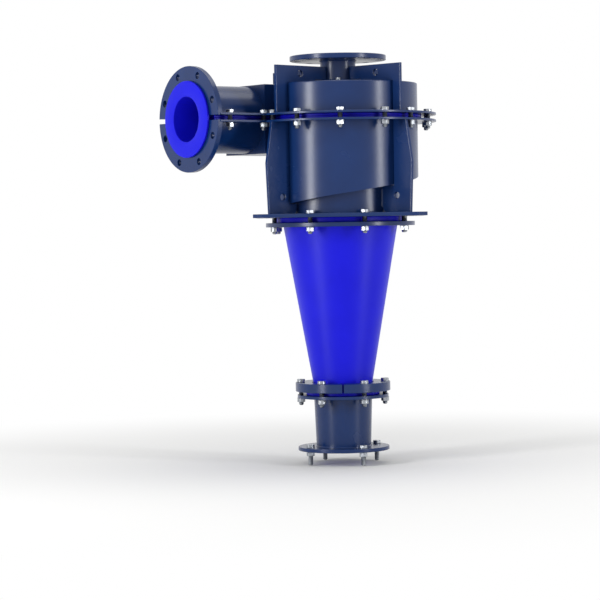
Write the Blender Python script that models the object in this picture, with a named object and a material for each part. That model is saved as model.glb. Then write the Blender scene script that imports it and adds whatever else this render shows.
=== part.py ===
"""Hydrocyclone with a split spiral head, a moulded cone and a bolted underflow spigot.

The origin is on the cyclone's axis, at the underside of the square support plate.
+Z points up to the overflow and +X runs along the plate's edge. All lengths are in metres.
A bearing is an angle about the axis: 0 faces -Y and 90 faces +X.
"""
import math

import bmesh
import bpy
from mathutils import Matrix, Vector

# Fits and cutting
SEAT_GAP = 0.0003
HOLE_CLEARANCE = 0.001
CUT_OVERRUN = 0.012
TOP_STEP = 0.001
MERGE_DISTANCE = 0.00001
FLAT_ANGLE_DEG = 0.05
SWEEP_STEP_DEG = 9.0
SEAM_DEG = 1.0
BOLT_HOLE_SIDES = 8
OPEN_HOLE_SIDES = 12
BOLT_SIDES = 6
TUBE_SIDES = 32

# Walls
NOMINAL_BORE = 0.350
CASING_WALL = 0.008
LINER_WALL = 0.015
RIB_THICKNESS = 0.010

# Support plate and the throat that stands on it
SUPPORT_SIDE = 0.556
SUPPORT_THICKNESS = 0.012
SUPPORT_CHAMFER = 0.030
SUPPORT_HOLE_RADIUS = 0.011
SUPPORT_HOLE_INSET = 0.045
THROAT_RADIUS = NOMINAL_BORE / 2 + LINER_WALL + SEAT_GAP + CASING_WALL

# Spiral head: radius and floor fall as the flow turns from the inlet
INLET_BEARING = 217.2
VOLUTE_START_RADIUS = 0.284
VOLUTE_END_RADIUS = 0.213
SPLIT_HEIGHT = 0.322
RAMP_FALL_PER_TURN = 0.2255
RAMP_LOWEST = 0.024

# Inlet pipe and its flange
PIPE_RADIUS = 0.1095
CHANNEL_MARGIN = 0.003
BOX_REACH = 0.255
INLET_REACH = 0.4785
INLET_FLANGE_RADIUS = 0.1715
INLET_FLANGE_THICKNESS = 0.018
INLET_HOLE_CIRCLE_RADIUS = 0.149
INLET_HOLE_RADIUS = 0.011
INLET_HOLE_COUNT = 8
INLET_BORE_RADIUS = 0.073
INLET_FACE_RADIUS = 0.124
INLET_FACE_THICKNESS = 0.009
EDGE_ROUND = 0.003

# Split joint: two steel plates with the liners' lips between them
JOINT_WIDTH = 0.062
JOINT_PLATE = 0.007
JOINT_BOLT_OFFSET = 0.038
LIP_THICKNESS = 0.0075
LIP_REACH = 0.012
JOINT_BEARINGS = (-52, -29, 1, 31, 53, 80, 105, 126, 152, 176, 200)
FAR_BOX_BOLT_SHARE = 0.52
NEAR_DRUM_BOLT_SHARE = 1.01
NEAR_PIPE_BOLT_SHARE = 0.73
FAR_PIPE_BOLT_SHARES = (0.05, 0.73)

# Overflow
OVERFLOW_PIPE_RADIUS = 0.058
OVERFLOW_FLANGE_RADIUS = 0.158
OVERFLOW_FLANGE_THICKNESS = 0.016
OVERFLOW_STAND = 0.0935
OVERFLOW_HOLE_CIRCLE_RADIUS = 0.132
OVERFLOW_HOLE_COUNT = 8
OVERFLOW_HOLE_RADIUS = 0.010
FOOT_RADIUS = 0.108
FOOT_THICKNESS = 0.010
FOOT_BOLT_CIRCLE_RADIUS = 0.088
FOOT_BOLT_COUNT = 4
ROOF_HOLE_RADIUS = 0.064
FINDER_RADIUS = 0.072
FINDER_BORE_RADIUS = 0.040
FINDER_DROP = 0.172
FINDER_MOUTH_FLARE = 0.006

# Ribs at the four corners
RIB_BEARINGS = {"front_left": -45, "front_right": 45, "back_right": 135, "back_left": -135}
RIB_FOOT_RADIUS = 0.322
RIB_SHOULDER_RADIUS = 0.330
RIB_SHOULDER_HEIGHT = 0.175
RIB_NECK_RADIUS = 0.306
RIB_HOLE_BEARING_RADIUS = 0.263
RIB_HOLE_HEIGHT = 0.066
RIB_HOLE_RADIUS = 0.011
RIB_WELD_NOTCH = 0.012
UPPER_RIB_RADIUS = 0.284
UPPER_RIB_STAND = 0.0555
UPPER_RIB_MARGIN = 0.018
UPPER_RIB_FOOT_GAP = 0.003
UPPER_HOLE_BEARING_RADIUS = 0.176
UPPER_HOLE_DROP = 0.026

# Cone and the steel rings that clamp its two lips
CONE_LIP_RADIUS = 0.211
CONE_LIP_THICKNESS = 0.016
CONE_TOP_RADIUS = 0.187
CONE_BOTTOM_RADIUS = 0.098
CONE_BOTTOM_BORE_RADIUS = 0.080
CONE_LENGTH = 0.582
CONE_FOOT_RADIUS = 0.121
CONE_FOOT_THICKNESS = 0.011
CONE_FILLET = 0.004
RING_RADIUS = 0.245
RING_THICKNESS = 0.014
RING_BOLT_CIRCLE_RADIUS = 0.228
RING_BOLT_COUNT = 8
RING_BOLT_FIRST_DEG = 20.0
CLAMP_RADIUS = 0.156
CLAMP_THICKNESS = 0.029
CLAMP_SPLIT = 0.006
CLAMP_BOLT_CIRCLE_RADIUS = 0.138
CLAMP_BOLT_COUNT = 6
CLAMP_BOLT_FIRST_DEG = 30.0

# Underflow spigot
SPIGOT_TOP_RADIUS = 0.096
SPIGOT_BOTTOM_RADIUS = 0.0895
SPIGOT_HEIGHT = 0.183
SPIGOT_FLANGE_RADIUS = 0.150
SPIGOT_TOP_FLANGE = 0.010
SPIGOT_BOTTOM_FLANGE = 0.012
SPIGOT_WALL = 0.007
SPIGOT_BORE_RADIUS = 0.045
SPIGOT_BOLT_CIRCLE_RADIUS = 0.126
SPIGOT_BOLT_COUNT = 4
SPIGOT_BOLT_FIRST_DEG = 30.0
SPIGOT_BOLT_HANG = 0.030

# M16 fasteners, and the smaller ones that hold the overflow's foot
BOLT_RADIUS = 0.008
BOLT_HEAD_ACROSS = 0.026
BOLT_PROUD = 0.010
HEAD_SHARE = 0.40
NUT_SHARE = 0.56
FOOT_BOLT_RADIUS = 0.005
FOOT_HEAD_ACROSS = 0.017

# Heights that follow from the sizes above
CHANNEL_HALF = PIPE_RADIUS + CHANNEL_MARGIN
ROOF_TOP = SPLIT_HEIGHT + CHANNEL_HALF
CHANNEL_FLOOR = SPLIT_HEIGHT - CHANNEL_HALF
PIPE_OFFSET = VOLUTE_START_RADIUS - CHANNEL_HALF
JOINT_PLATE_TOP = SPLIT_HEIGHT + LIP_THICKNESS + SEAT_GAP + JOINT_PLATE
JOINT_PLATE_BOTTOM = 2 * SPLIT_HEIGHT - JOINT_PLATE_TOP
RING_TOP = -CONE_LIP_THICKNESS - 2 * SEAT_GAP
RING_BOTTOM = RING_TOP - RING_THICKNESS
CONE_BOTTOM = -SEAT_GAP - CONE_LENGTH
CLAMP_BOTTOM = CONE_BOTTOM + CONE_FOOT_THICKNESS + SEAT_GAP
CLAMP_TOP = CLAMP_BOTTOM + CLAMP_THICKNESS
SPIGOT_TOP = CONE_BOTTOM - SEAT_GAP
SPIGOT_BOTTOM = SPIGOT_TOP - SPIGOT_HEIGHT
FOOT_TOP = ROOF_TOP + SEAT_GAP + FOOT_THICKNESS
OVERFLOW_HEIGHT = ROOF_TOP + OVERFLOW_STAND
FINDER_BOTTOM = SPLIT_HEIGHT - FINDER_DROP
UPPER_RIB_TOP = ROOF_TOP + UPPER_RIB_STAND

PAINT = ("painted_steel", (0.016, 0.055, 0.150), 0.35, 0.0)
URETHANE = ("moulded_polyurethane", (0.012, 0.012, 0.620), 0.45, 0.0)
ZINC = ("zinc_plated_steel", (0.62, 0.64, 0.68), 0.30, 1.0)


def clear_scene():
    """Remove whatever the file held."""
    for old in list(bpy.data.objects):
        bpy.data.objects.remove(old, do_unlink=True)


def material(finish):
    """Return the Principled material for a finish, made once."""
    name, color, roughness, metallic = finish
    found = bpy.data.materials.get(name)
    if found:
        return found
    made = bpy.data.materials.new(name)
    made.use_nodes = True
    shader = made.node_tree.nodes["Principled BSDF"]
    shader.inputs["Base Color"].default_value = (*color, 1.0)
    shader.inputs["Roughness"].default_value = roughness
    shader.inputs["Metallic"].default_value = metallic
    made.diffuse_color = (*color, 1.0)
    return made


def make_object(name, bm, finish=PAINT):
    """Turn a bmesh into a linked, smooth-shaded object."""
    bmesh.ops.remove_doubles(bm, verts=bm.verts, dist=MERGE_DISTANCE)
    bmesh.ops.recalc_face_normals(bm, faces=bm.faces)
    mesh = bpy.data.meshes.new(name)
    bm.to_mesh(mesh)
    bm.free()
    mesh.shade_smooth()
    mesh.set_sharp_from_angle(angle=math.radians(35.0))
    made = bpy.data.objects.new(name, mesh)
    mesh.materials.append(material(finish))
    bpy.context.scene.collection.objects.link(made)
    return made


def tidy(target):
    """Merge what one cut left in a plane, so that the next one starts from a clean body."""
    bm = bmesh.new()
    bm.from_mesh(target.data)
    bmesh.ops.dissolve_degenerate(bm, edges=bm.edges, dist=MERGE_DISTANCE)
    bmesh.ops.dissolve_limit(
        bm, angle_limit=math.radians(FLAT_ANGLE_DEG), verts=bm.verts, edges=bm.edges,
    )
    bmesh.ops.triangulate(bm, faces=[f for f in bm.faces if len(f.verts) > 4])
    bm.to_mesh(target.data)
    bm.free()


def combine(target, others, operation):
    """Join, cut or trim target with the other solids, which are used up."""
    for other in others:
        step = target.modifiers.new(operation.lower(), "BOOLEAN")
        step.operation = operation
        step.solver = "EXACT"
        step.object = other
        bpy.context.view_layer.update()
        whole = target.evaluated_get(bpy.context.evaluated_depsgraph_get())
        mesh = bpy.data.meshes.new_from_object(whole)
        target.modifiers.clear()
        old = target.data
        target.data = mesh
        mesh.name = old.name
        bpy.data.meshes.remove(old)
        bpy.data.objects.remove(other, do_unlink=True)
        tidy(target)
    target.data.shade_smooth()
    target.data.set_sharp_from_angle(angle=math.radians(35.0))
    return target


def join(target, *others):
    """Weld the others to target."""
    return combine(target, others, "UNION")


def cut(target, *others):
    """Take the others out of target."""
    return combine(target, others, "DIFFERENCE")


def around(bearing, radius, height=0.0):
    """Point at a bearing and radius about the axis."""
    angle = math.radians(bearing)
    return Vector((radius * math.sin(angle), -radius * math.cos(angle), height))


def inlet_point(reach, side, height=0.0):
    """Point given along the inlet pipe's direction and across it, from the axis."""
    angle = math.radians(INLET_BEARING)
    along = Vector((math.cos(angle), math.sin(angle), 0))
    across = Vector((math.sin(angle), -math.cos(angle), 0))
    point = along * reach + across * side
    point.z = height
    return point


def even_bearings(count, first):
    """Bearings of a full circle of things, starting from the first."""
    return [first + 360.0 * i / count for i in range(count)]


def prism(name, outline, low, high, finish=PAINT):
    """Extrude a closed plan outline between two heights."""
    bm = bmesh.new()
    face = bm.faces.new([bm.verts.new((p[0], p[1], low)) for p in outline])
    grown = bmesh.ops.extrude_face_region(bm, geom=[face])
    moved = [v for v in grown["geom"] if isinstance(v, bmesh.types.BMVert)]
    bmesh.ops.translate(bm, verts=moved, vec=(0, 0, high - low))
    return make_object(name, bm, finish)


def turned(name, profile, finish=PAINT, sides=TUBE_SIDES):
    """Spin a closed profile of (radius, height) points about the axis."""
    bm = bmesh.new()
    rows = []
    for i in range(sides):
        turn = 360.0 * i / sides
        rows.append([bm.verts.new(around(turn, r, z)) for r, z in profile])
    for row, following in zip(rows, rows[1:] + rows[:1]):
        for k in range(len(profile)):
            n = (k + 1) % len(profile)
            bm.faces.new((row[k], row[n], following[n], following[k]))
    return make_object(name, bm, finish)


def rod(name, radius, start, end, sides=TUBE_SIDES, finish=PAINT):
    """Solid round bar between two points."""
    bm = bmesh.new()
    axis = end - start
    turn = axis.to_track_quat("Z", "Y").to_matrix().to_4x4()
    place = Matrix.Translation((start + end) / 2) @ turn
    bmesh.ops.create_cone(
        bm, cap_ends=True, segments=sides, radius1=radius, radius2=radius,
        depth=axis.length, matrix=place,
    )
    return make_object(name, bm, finish)


def slab(name, low, high):
    """Cutter as large as the part in plan, between two heights."""
    reach = 2 * (INLET_REACH + VOLUTE_START_RADIUS)
    outline = [(-reach, -reach), (reach, -reach), (reach, reach), (-reach, reach)]
    return prism(name, outline, low, high)


def volute_radius(bearing):
    """Outer radius of the spiral, which shrinks as the flow turns away from the inlet."""
    share = (INLET_BEARING - bearing) / 360.0
    return VOLUTE_START_RADIUS + (VOLUTE_END_RADIUS - VOLUTE_START_RADIUS) * share


def ramp_height(bearing):
    """Underside of the spiral floor, which starts level with the inlet channel's."""
    share = (INLET_BEARING - bearing) / 360.0
    return max(CHANNEL_FLOOR - RAMP_FALL_PER_TURN * share, RAMP_LOWEST)


def tongue_turn(offset):
    """Angle of the spiral's wall at which the inlet channel's near wall cuts it."""
    near = PIPE_OFFSET - CHANNEL_HALF - offset
    turn = 290.0
    for _ in range(8):
        radius = volute_radius(INLET_BEARING - turn) + offset
        turn = 360.0 - math.degrees(math.acos(near / radius))
    return turn


def volute_outline(offset, reach):
    """Plan outline of the spiral and its straight inlet channel, grown by offset."""
    turn = tongue_turn(offset)
    steps = math.ceil(turn / SWEEP_STEP_DEG)
    spiral = []
    for i in range(steps + 1):
        bearing = INLET_BEARING - min(i * SWEEP_STEP_DEG, turn)
        spiral.append(around(bearing, volute_radius(bearing) + offset))
    far_end = inlet_point(reach, PIPE_OFFSET + CHANNEL_HALF + offset)
    near_end = inlet_point(reach, PIPE_OFFSET - CHANNEL_HALF - offset)
    return [far_end, *spiral, near_end]


def spiral_turn(name, inset, top):
    """Solid turn of the spiral, shrunk by inset, with the ramp as its floor.

    It stops short of a full turn, where the inlet channel closes the seam.
    """
    sweep = 360.0 - SEAM_DEG - math.degrees(inset / THROAT_RADIUS)
    steps = math.ceil(sweep / SWEEP_STEP_DEG)
    bm = bmesh.new()
    core = THROAT_RADIUS / 2
    rows = []
    for i in range(steps + 1):
        bearing = INLET_BEARING - min(i * SWEEP_STEP_DEG, sweep)
        radius = volute_radius(bearing) - inset
        floor = ramp_height(bearing) + inset
        section = ((core, floor), (radius, floor), (radius, top), (core, top))
        rows.append([bm.verts.new(around(bearing, r, z)) for r, z in section])
    for row, following in zip(rows, rows[1:]):
        for k in range(len(row)):
            n = (k + 1) % len(row)
            bm.faces.new((row[k], row[n], following[n], following[k]))
    bm.faces.new(rows[0])
    bm.faces.new(rows[-1])
    return make_object(name, bm)


def lower_chamber(name, inset, bottom, top):
    """Everything the lower half encloses: spiral, channel and throat, shrunk by inset.

    Each solid ends a step above the last, since tops in one plane leave cracks in a union.
    """
    body = spiral_turn(name, inset, top)
    lid = top + TOP_STEP
    channel = prism("channel", volute_channel(inset), CHANNEL_FLOOR + inset, lid)
    lid += TOP_STEP
    throat = rod("throat", THROAT_RADIUS - inset, Vector((0, 0, bottom)), Vector((0, 0, lid)))
    return join(body, channel, throat)


def volute_channel(inset):
    """Plan of the straight inlet channel, from behind the axis to the end of its box."""
    back = -THROAT_RADIUS / 4
    end = BOX_REACH - inset
    far = PIPE_OFFSET + CHANNEL_HALF - inset
    near = PIPE_OFFSET - CHANNEL_HALF + inset
    corners = ((0, far), (end, far), (end, near), (back, near), (back, far / 2))
    return [inlet_point(t, s) for t, s in corners]


def pipe_rod(name, radius, start, end):
    """Bar on the inlet pipe's axis between two reaches."""
    first = inlet_point(start, PIPE_OFFSET, SPLIT_HEIGHT)
    return rod(name, radius, first, inlet_point(end, PIPE_OFFSET, SPLIT_HEIGHT))


def joint_bolt_places():
    """Plan positions of the bolts round the split joint."""
    places = []
    for bearing in JOINT_BEARINGS:
        places.append(around(bearing, volute_radius(bearing) + JOINT_BOLT_OFFSET))
    near = PIPE_OFFSET - CHANNEL_HALF - JOINT_BOLT_OFFSET
    far = PIPE_OFFSET + CHANNEL_HALF + JOINT_BOLT_OFFSET
    pipe = INLET_REACH - BOX_REACH
    places.append(inlet_point(VOLUTE_START_RADIUS * NEAR_DRUM_BOLT_SHARE, near))
    places.append(inlet_point(BOX_REACH + pipe * NEAR_PIPE_BOLT_SHARE, near))
    places.append(inlet_point(BOX_REACH * FAR_BOX_BOLT_SHARE, far))
    places += [inlet_point(BOX_REACH + pipe * share, far) for share in FAR_PIPE_BOLT_SHARES]
    return places


def circle_places(count, radius, first):
    """Plan positions of a full circle of things."""
    return [around(bearing, radius) for bearing in even_bearings(count, first)]


def drill(target, places, radius, low, high, sides=BOLT_HOLE_SIDES):
    """Cut round vertical holes at plan positions, all at once."""
    bm = bmesh.new()
    for place in places:
        middle = Vector((place.x, place.y, (low + high) / 2))
        bmesh.ops.create_cone(
            bm, cap_ends=True, segments=sides, radius1=radius, radius2=radius,
            depth=high - low + 2 * CUT_OVERRUN, matrix=Matrix.Translation(middle),
        )
    return cut(target, make_object("drills", bm))


def chamfered_square(side, chamfer):
    """Plan outline of a square with its corners cut off."""
    half = side / 2
    inner = half - chamfer
    corner = [(half, -inner), (half, inner)]
    outline = []
    for turn in range(4):
        spin = Matrix.Rotation(math.radians(90.0 * turn), 2)
        outline += [tuple(spin @ Vector(p)) for p in corner]
    return outline


def build_support_plate():
    """Square plate that carries the cyclone, with a hole in each corner for its own bolts."""
    outline = chamfered_square(SUPPORT_SIDE, SUPPORT_CHAMFER)
    plate = prism("support_plate", outline, 0, SUPPORT_THICKNESS)
    opening = THROAT_RADIUS - CASING_WALL - SEAT_GAP
    bore = rod("bore", opening, Vector((0, 0, -CUT_OVERRUN)), Vector((0, 0, 2 * CUT_OVERRUN)))
    cut(plate, bore)
    hole = SUPPORT_SIDE / 2 - SUPPORT_HOLE_INSET
    corners = [Vector((x, y)) for x in (-hole, hole) for y in (-hole, hole)]
    drill(plate, corners, SUPPORT_HOLE_RADIUS, 0, SUPPORT_THICKNESS, OPEN_HOLE_SIDES)
    ring = circle_places(RING_BOLT_COUNT, RING_BOLT_CIRCLE_RADIUS, RING_BOLT_FIRST_DEG)
    return drill(plate, ring, BOLT_RADIUS + HOLE_CLEARANCE, 0, SUPPORT_THICKNESS)


def inlet_hole_cutters():
    """Bars for the inlet flange's bolt holes, straddling the split."""
    spacing = 360.0 / INLET_HOLE_COUNT
    bars = bmesh.new()
    along = inlet_point(1, 0) - inlet_point(0, 0)
    turn = along.to_track_quat("Z", "Y").to_matrix().to_4x4()
    for i in range(INLET_HOLE_COUNT):
        angle = math.radians(spacing * (i + 0.5))
        side = PIPE_OFFSET + INLET_HOLE_CIRCLE_RADIUS * math.cos(angle)
        height = SPLIT_HEIGHT + INLET_HOLE_CIRCLE_RADIUS * math.sin(angle)
        middle = inlet_point(INLET_REACH - INLET_FLANGE_THICKNESS / 2, side, height)
        bmesh.ops.create_cone(
            bars, cap_ends=True, segments=OPEN_HOLE_SIDES,
            radius1=INLET_HOLE_RADIUS, radius2=INLET_HOLE_RADIUS,
            depth=INLET_FLANGE_THICKNESS + CUT_OVERRUN, matrix=Matrix.Translation(middle) @ turn,
        )
    return make_object("inlet_holes", bars)


def casing_half(chamber, cavity, plate_low, plate_high, away):
    """Weld a half's joint plate, pipe and inlet flange to its chamber and hollow it out.

    The slab called away removes what the other half of the pipe and flange holds.
    """
    weld = INLET_REACH - INLET_FLANGE_THICKNESS / 2
    plate = prism("plate", volute_outline(JOINT_WIDTH, weld), plate_low, plate_high)
    pipe = pipe_rod("pipe", PIPE_RADIUS, BOX_REACH - CASING_WALL / 2, weld)
    flange = pipe_rod("flange", INLET_FLANGE_RADIUS, INLET_REACH - INLET_FLANGE_THICKNESS,
                      INLET_REACH)
    join(chamber, plate, pipe, flange)
    bore = pipe_rod("bore", PIPE_RADIUS - CASING_WALL, BOX_REACH - 2 * CASING_WALL,
                    INLET_REACH + CUT_OVERRUN)
    cut(chamber, cavity, bore, inlet_hole_cutters(), away)
    return drill(chamber, joint_bolt_places(), BOLT_RADIUS + HOLE_CLEARANCE, plate_low,
                 plate_high)


def build_lower_casing():
    """Lower half of the steel head: spiral wall, ramped floor, throat and half the pipe."""
    outside = lower_chamber("lower_casing", 0, SUPPORT_THICKNESS + SEAT_GAP, SPLIT_HEIGHT)
    inside = lower_chamber("inside", CASING_WALL, -CUT_OVERRUN, SPLIT_HEIGHT + CUT_OVERRUN)
    top = JOINT_PLATE_BOTTOM + JOINT_PLATE
    over = slab("over", top, top + 2 * INLET_FLANGE_RADIUS)
    return casing_half(outside, inside, JOINT_PLATE_BOTTOM, top, over)


def build_upper_casing():
    """Upper half of the steel head, under a flat roof with the overflow's opening."""
    low = JOINT_PLATE_TOP - JOINT_PLATE
    outside = prism("upper_casing", volute_outline(0, BOX_REACH), low, ROOF_TOP)
    roof = ROOF_TOP - CASING_WALL
    reach = BOX_REACH - CASING_WALL
    inside = prism("inside", volute_outline(-CASING_WALL, reach), 0, roof)
    under = slab("under", low - 2 * INLET_FLANGE_RADIUS, low)
    half = casing_half(outside, inside, low, JOINT_PLATE_TOP, under)
    cut(half, rod("hole", ROOF_HOLE_RADIUS, Vector((0, 0, roof - CUT_OVERRUN)),
                  Vector((0, 0, ROOF_TOP + CUT_OVERRUN))))
    foot = circle_places(FOOT_BOLT_COUNT, FOOT_BOLT_CIRCLE_RADIUS, 0)
    return drill(half, foot, FOOT_BOLT_RADIUS + HOLE_CLEARANCE, roof, ROOF_TOP)


def liner_half(shell, cavity, lip_low, lip_high):
    """Moulded liner half: a shell with a lip that the joint plates grip."""
    reach = INLET_REACH - INLET_FLANGE_THICKNESS - SEAT_GAP
    join(shell, prism("lip", volute_outline(LIP_REACH, reach), lip_low, lip_high))
    sleeve = pipe_rod("sleeve", PIPE_RADIUS - CASING_WALL, BOX_REACH - CASING_WALL,
                      INLET_REACH + CUT_OVERRUN)
    mouth = pipe_rod("mouth", INLET_BORE_RADIUS, BOX_REACH / 2, INLET_REACH)
    cut(shell, cavity, sleeve, mouth)
    shell.data.materials.clear()
    shell.data.materials.append(material(URETHANE))
    return shell


def build_lower_liner():
    """Lower polyurethane liner, down through the throat to the cone."""
    inset = CASING_WALL + SEAT_GAP
    deep = inset + LINER_WALL
    top = SPLIT_HEIGHT - SEAT_GAP / 2
    shell = lower_chamber("lower_liner", inset, 0, SPLIT_HEIGHT)
    cut(shell, slab("over", top, top + CUT_OVERRUN))
    cavity = lower_chamber("cavity", deep, -CUT_OVERRUN, SPLIT_HEIGHT + CUT_OVERRUN)
    return liner_half(shell, cavity, SPLIT_HEIGHT - LIP_THICKNESS, top)


def build_upper_liner():
    """Upper polyurethane liner, with the roof's hole for the vortex finder."""
    inset = CASING_WALL + SEAT_GAP
    deep = inset + LINER_WALL
    low = SPLIT_HEIGHT + SEAT_GAP / 2
    shell = prism("upper_liner", volute_outline(-inset, BOX_REACH - inset), low, ROOF_TOP - inset)
    cavity = prism("cavity", volute_outline(-deep, BOX_REACH - deep), 0, ROOF_TOP - deep)
    half = liner_half(shell, cavity, low, SPLIT_HEIGHT + LIP_THICKNESS)
    return cut(half, rod("hole", FINDER_RADIUS + SEAT_GAP, Vector((0, 0, low)),
                         Vector((0, 0, ROOF_TOP + CUT_OVERRUN))))


def along_pipe(made, start):
    """Lay a piece turned about +Z on the inlet pipe's axis, its zero at a reach."""
    along = inlet_point(1, 0) - inlet_point(0, 0)
    turn = along.to_track_quat("Z", "Y").to_matrix().to_4x4()
    place = Matrix.Translation(inlet_point(start, PIPE_OFFSET, SPLIT_HEIGHT))
    made.data.transform(place @ turn)
    return made


def build_inlet_liner():
    """One-piece sleeve in the inlet pipe, whose face stands proud of the flange."""
    outer = PIPE_RADIUS - CASING_WALL - SEAT_GAP
    start = BOX_REACH - CASING_WALL + SEAT_GAP
    seat = INLET_REACH + SEAT_GAP - start
    face = seat + INLET_FACE_THICKNESS
    profile = [
        (INLET_BORE_RADIUS, 0), (outer, 0), (outer, seat), (INLET_FACE_RADIUS, seat),
        (INLET_FACE_RADIUS, face - EDGE_ROUND), (INLET_FACE_RADIUS - EDGE_ROUND, face),
        (INLET_BORE_RADIUS + EDGE_ROUND, face), (INLET_BORE_RADIUS, face - EDGE_ROUND),
    ]
    return along_pipe(turned("inlet_liner", profile, URETHANE), start)


def build_overflow_pipe():
    """Short pipe above the roof, with its foot and the overflow's flange."""
    foot = ROOF_TOP + SEAT_GAP
    under = OVERFLOW_HEIGHT - OVERFLOW_FLANGE_THICKNESS
    bore = OVERFLOW_PIPE_RADIUS - CASING_WALL
    rim = OVERFLOW_FLANGE_RADIUS
    profile = [
        (bore, foot), (FOOT_RADIUS, foot), (FOOT_RADIUS, FOOT_TOP),
        (OVERFLOW_PIPE_RADIUS, FOOT_TOP), (OVERFLOW_PIPE_RADIUS, under),
        (rim, under), (rim, OVERFLOW_HEIGHT), (bore, OVERFLOW_HEIGHT),
    ]
    pipe = turned("overflow_pipe", profile)
    holes = circle_places(OVERFLOW_HOLE_COUNT, OVERFLOW_HOLE_CIRCLE_RADIUS, 0)
    drill(pipe, holes, OVERFLOW_HOLE_RADIUS, under, OVERFLOW_HEIGHT, OPEN_HOLE_SIDES)
    foot_holes = circle_places(FOOT_BOLT_COUNT, FOOT_BOLT_CIRCLE_RADIUS, 0)
    return drill(pipe, foot_holes, FOOT_BOLT_RADIUS + HOLE_CLEARANCE, foot, FOOT_TOP)


def build_vortex_finder():
    """Moulded tube that hangs into the chamber and lines the overflow pipe."""
    neck = OVERFLOW_PIPE_RADIUS - CASING_WALL - SEAT_GAP
    seat = ROOF_TOP - CASING_WALL - SEAT_GAP
    flare = FINDER_BORE_RADIUS + FINDER_MOUTH_FLARE
    profile = [
        (flare, FINDER_BOTTOM), (FINDER_RADIUS - FINDER_MOUTH_FLARE, FINDER_BOTTOM),
        (FINDER_RADIUS, FINDER_BOTTOM + FINDER_MOUTH_FLARE), (FINDER_RADIUS, seat),
        (neck, seat), (neck, OVERFLOW_HEIGHT), (FINDER_BORE_RADIUS, OVERFLOW_HEIGHT),
        (FINDER_BORE_RADIUS, FINDER_BOTTOM + FINDER_MOUTH_FLARE),
    ]
    return turned("vortex_finder", profile, URETHANE)


def in_channel(bearing):
    """Whether the inlet channel passes over this bearing."""
    behind = (bearing - INLET_BEARING) % 360.0
    return behind < 360.0 - tongue_turn(0)


def rib_solid(name, bearing, profile):
    """Flat plate standing on a bearing, from a profile of (radius, height) points."""
    facing = around(bearing + 90.0, RIB_THICKNESS / 2)
    bm = bmesh.new()
    first = [bm.verts.new(around(bearing, r, z) - facing) for r, z in profile]
    second = [bm.verts.new(around(bearing, r, z) + facing) for r, z in profile]
    bm.faces.new(first)
    bm.faces.new(second)
    for k in range(len(profile)):
        n = (k + 1) % len(profile)
        bm.faces.new((first[k], first[n], second[n], second[k]))
    return make_object(name, bm)


def drill_rib(rib, bearing, radius, height, hole):
    """Cut a round hole square through a rib."""
    facing = around(bearing + 90.0, RIB_THICKNESS + CUT_OVERRUN)
    middle = around(bearing, radius, height)
    return cut(rib, rod("eye", hole, middle - facing, middle + facing, OPEN_HOLE_SIDES))


def spiral_edge(bearing):
    """Outermost radius and lowest floor that a rib at this bearing has to clear."""
    spread = math.degrees(RIB_THICKNESS / THROAT_RADIUS)
    first = bearing
    while first > INLET_BEARING:
        first -= 360.0
    last = first + 360.0 if first + 360.0 <= INLET_BEARING else first
    bearings = (last - spread, last + spread)
    wall = max(volute_radius(b) for b in bearings) + 2 * SEAT_GAP
    return wall, min(ramp_height(b) for b in bearings) - 2 * SEAT_GAP


def channel_edge(bearing):
    """Radius at which a bearing leaves the inlet channel's far wall."""
    turn = math.radians(bearing - INLET_BEARING)
    return (VOLUTE_START_RADIUS + RIB_THICKNESS * abs(math.sin(turn))) / math.cos(turn)


def build_lower_rib(corner, bearing):
    """Gusset from the support plate up to the split joint, cut to the spiral's outline."""
    foot = SUPPORT_THICKNESS + SEAT_GAP
    top = JOINT_PLATE_BOTTOM - SEAT_GAP
    wall, floor = spiral_edge(bearing)
    inner = THROAT_RADIUS + 2 * SEAT_GAP
    profile = [(inner + RIB_WELD_NOTCH, foot), (inner, foot + RIB_WELD_NOTCH)]
    if floor > foot + 2 * RIB_WELD_NOTCH:
        profile += [(inner, floor), (wall, floor)]
    else:
        profile = [(wall, foot)]
    if in_channel(bearing):
        under = CHANNEL_FLOOR - SEAT_GAP
        clear = channel_edge(bearing) + SEAT_GAP
        profile += [(wall, under), (clear, under), (clear, top)]
    else:
        profile.append((wall, top))
    profile += [
        (RIB_NECK_RADIUS, top), (RIB_SHOULDER_RADIUS, RIB_SHOULDER_HEIGHT),
        (RIB_FOOT_RADIUS, foot),
    ]
    rib = rib_solid("lower_rib_" + corner, bearing, profile)
    return drill_rib(rib, bearing, RIB_HOLE_BEARING_RADIUS, RIB_HOLE_HEIGHT, RIB_HOLE_RADIUS)


def build_upper_rib(corner, bearing):
    """Gusset from the overflow pipe over the roof to the split joint, with a lifting eye."""
    foot = JOINT_PLATE_TOP + SEAT_GAP
    roof = ROOF_TOP + SEAT_GAP
    wall = spiral_edge(bearing)[0]
    if in_channel(bearing):
        wall = channel_edge(bearing) + SEAT_GAP
    outer = max(UPPER_RIB_RADIUS, wall + UPPER_RIB_MARGIN)
    inner = FOOT_RADIUS + SEAT_GAP
    over_foot = FOOT_TOP + UPPER_RIB_FOOT_GAP
    pipe = OVERFLOW_PIPE_RADIUS + SEAT_GAP
    profile = [
        (wall, foot), (wall, roof), (inner, roof), (inner, over_foot), (pipe, over_foot),
        (pipe, UPPER_RIB_TOP), (outer, UPPER_RIB_TOP), (outer, foot),
    ]
    rib = rib_solid("upper_rib_" + corner, bearing, profile)
    height = UPPER_RIB_TOP - UPPER_HOLE_DROP
    return drill_rib(rib, bearing, UPPER_HOLE_BEARING_RADIUS, height, RIB_HOLE_RADIUS)


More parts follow.
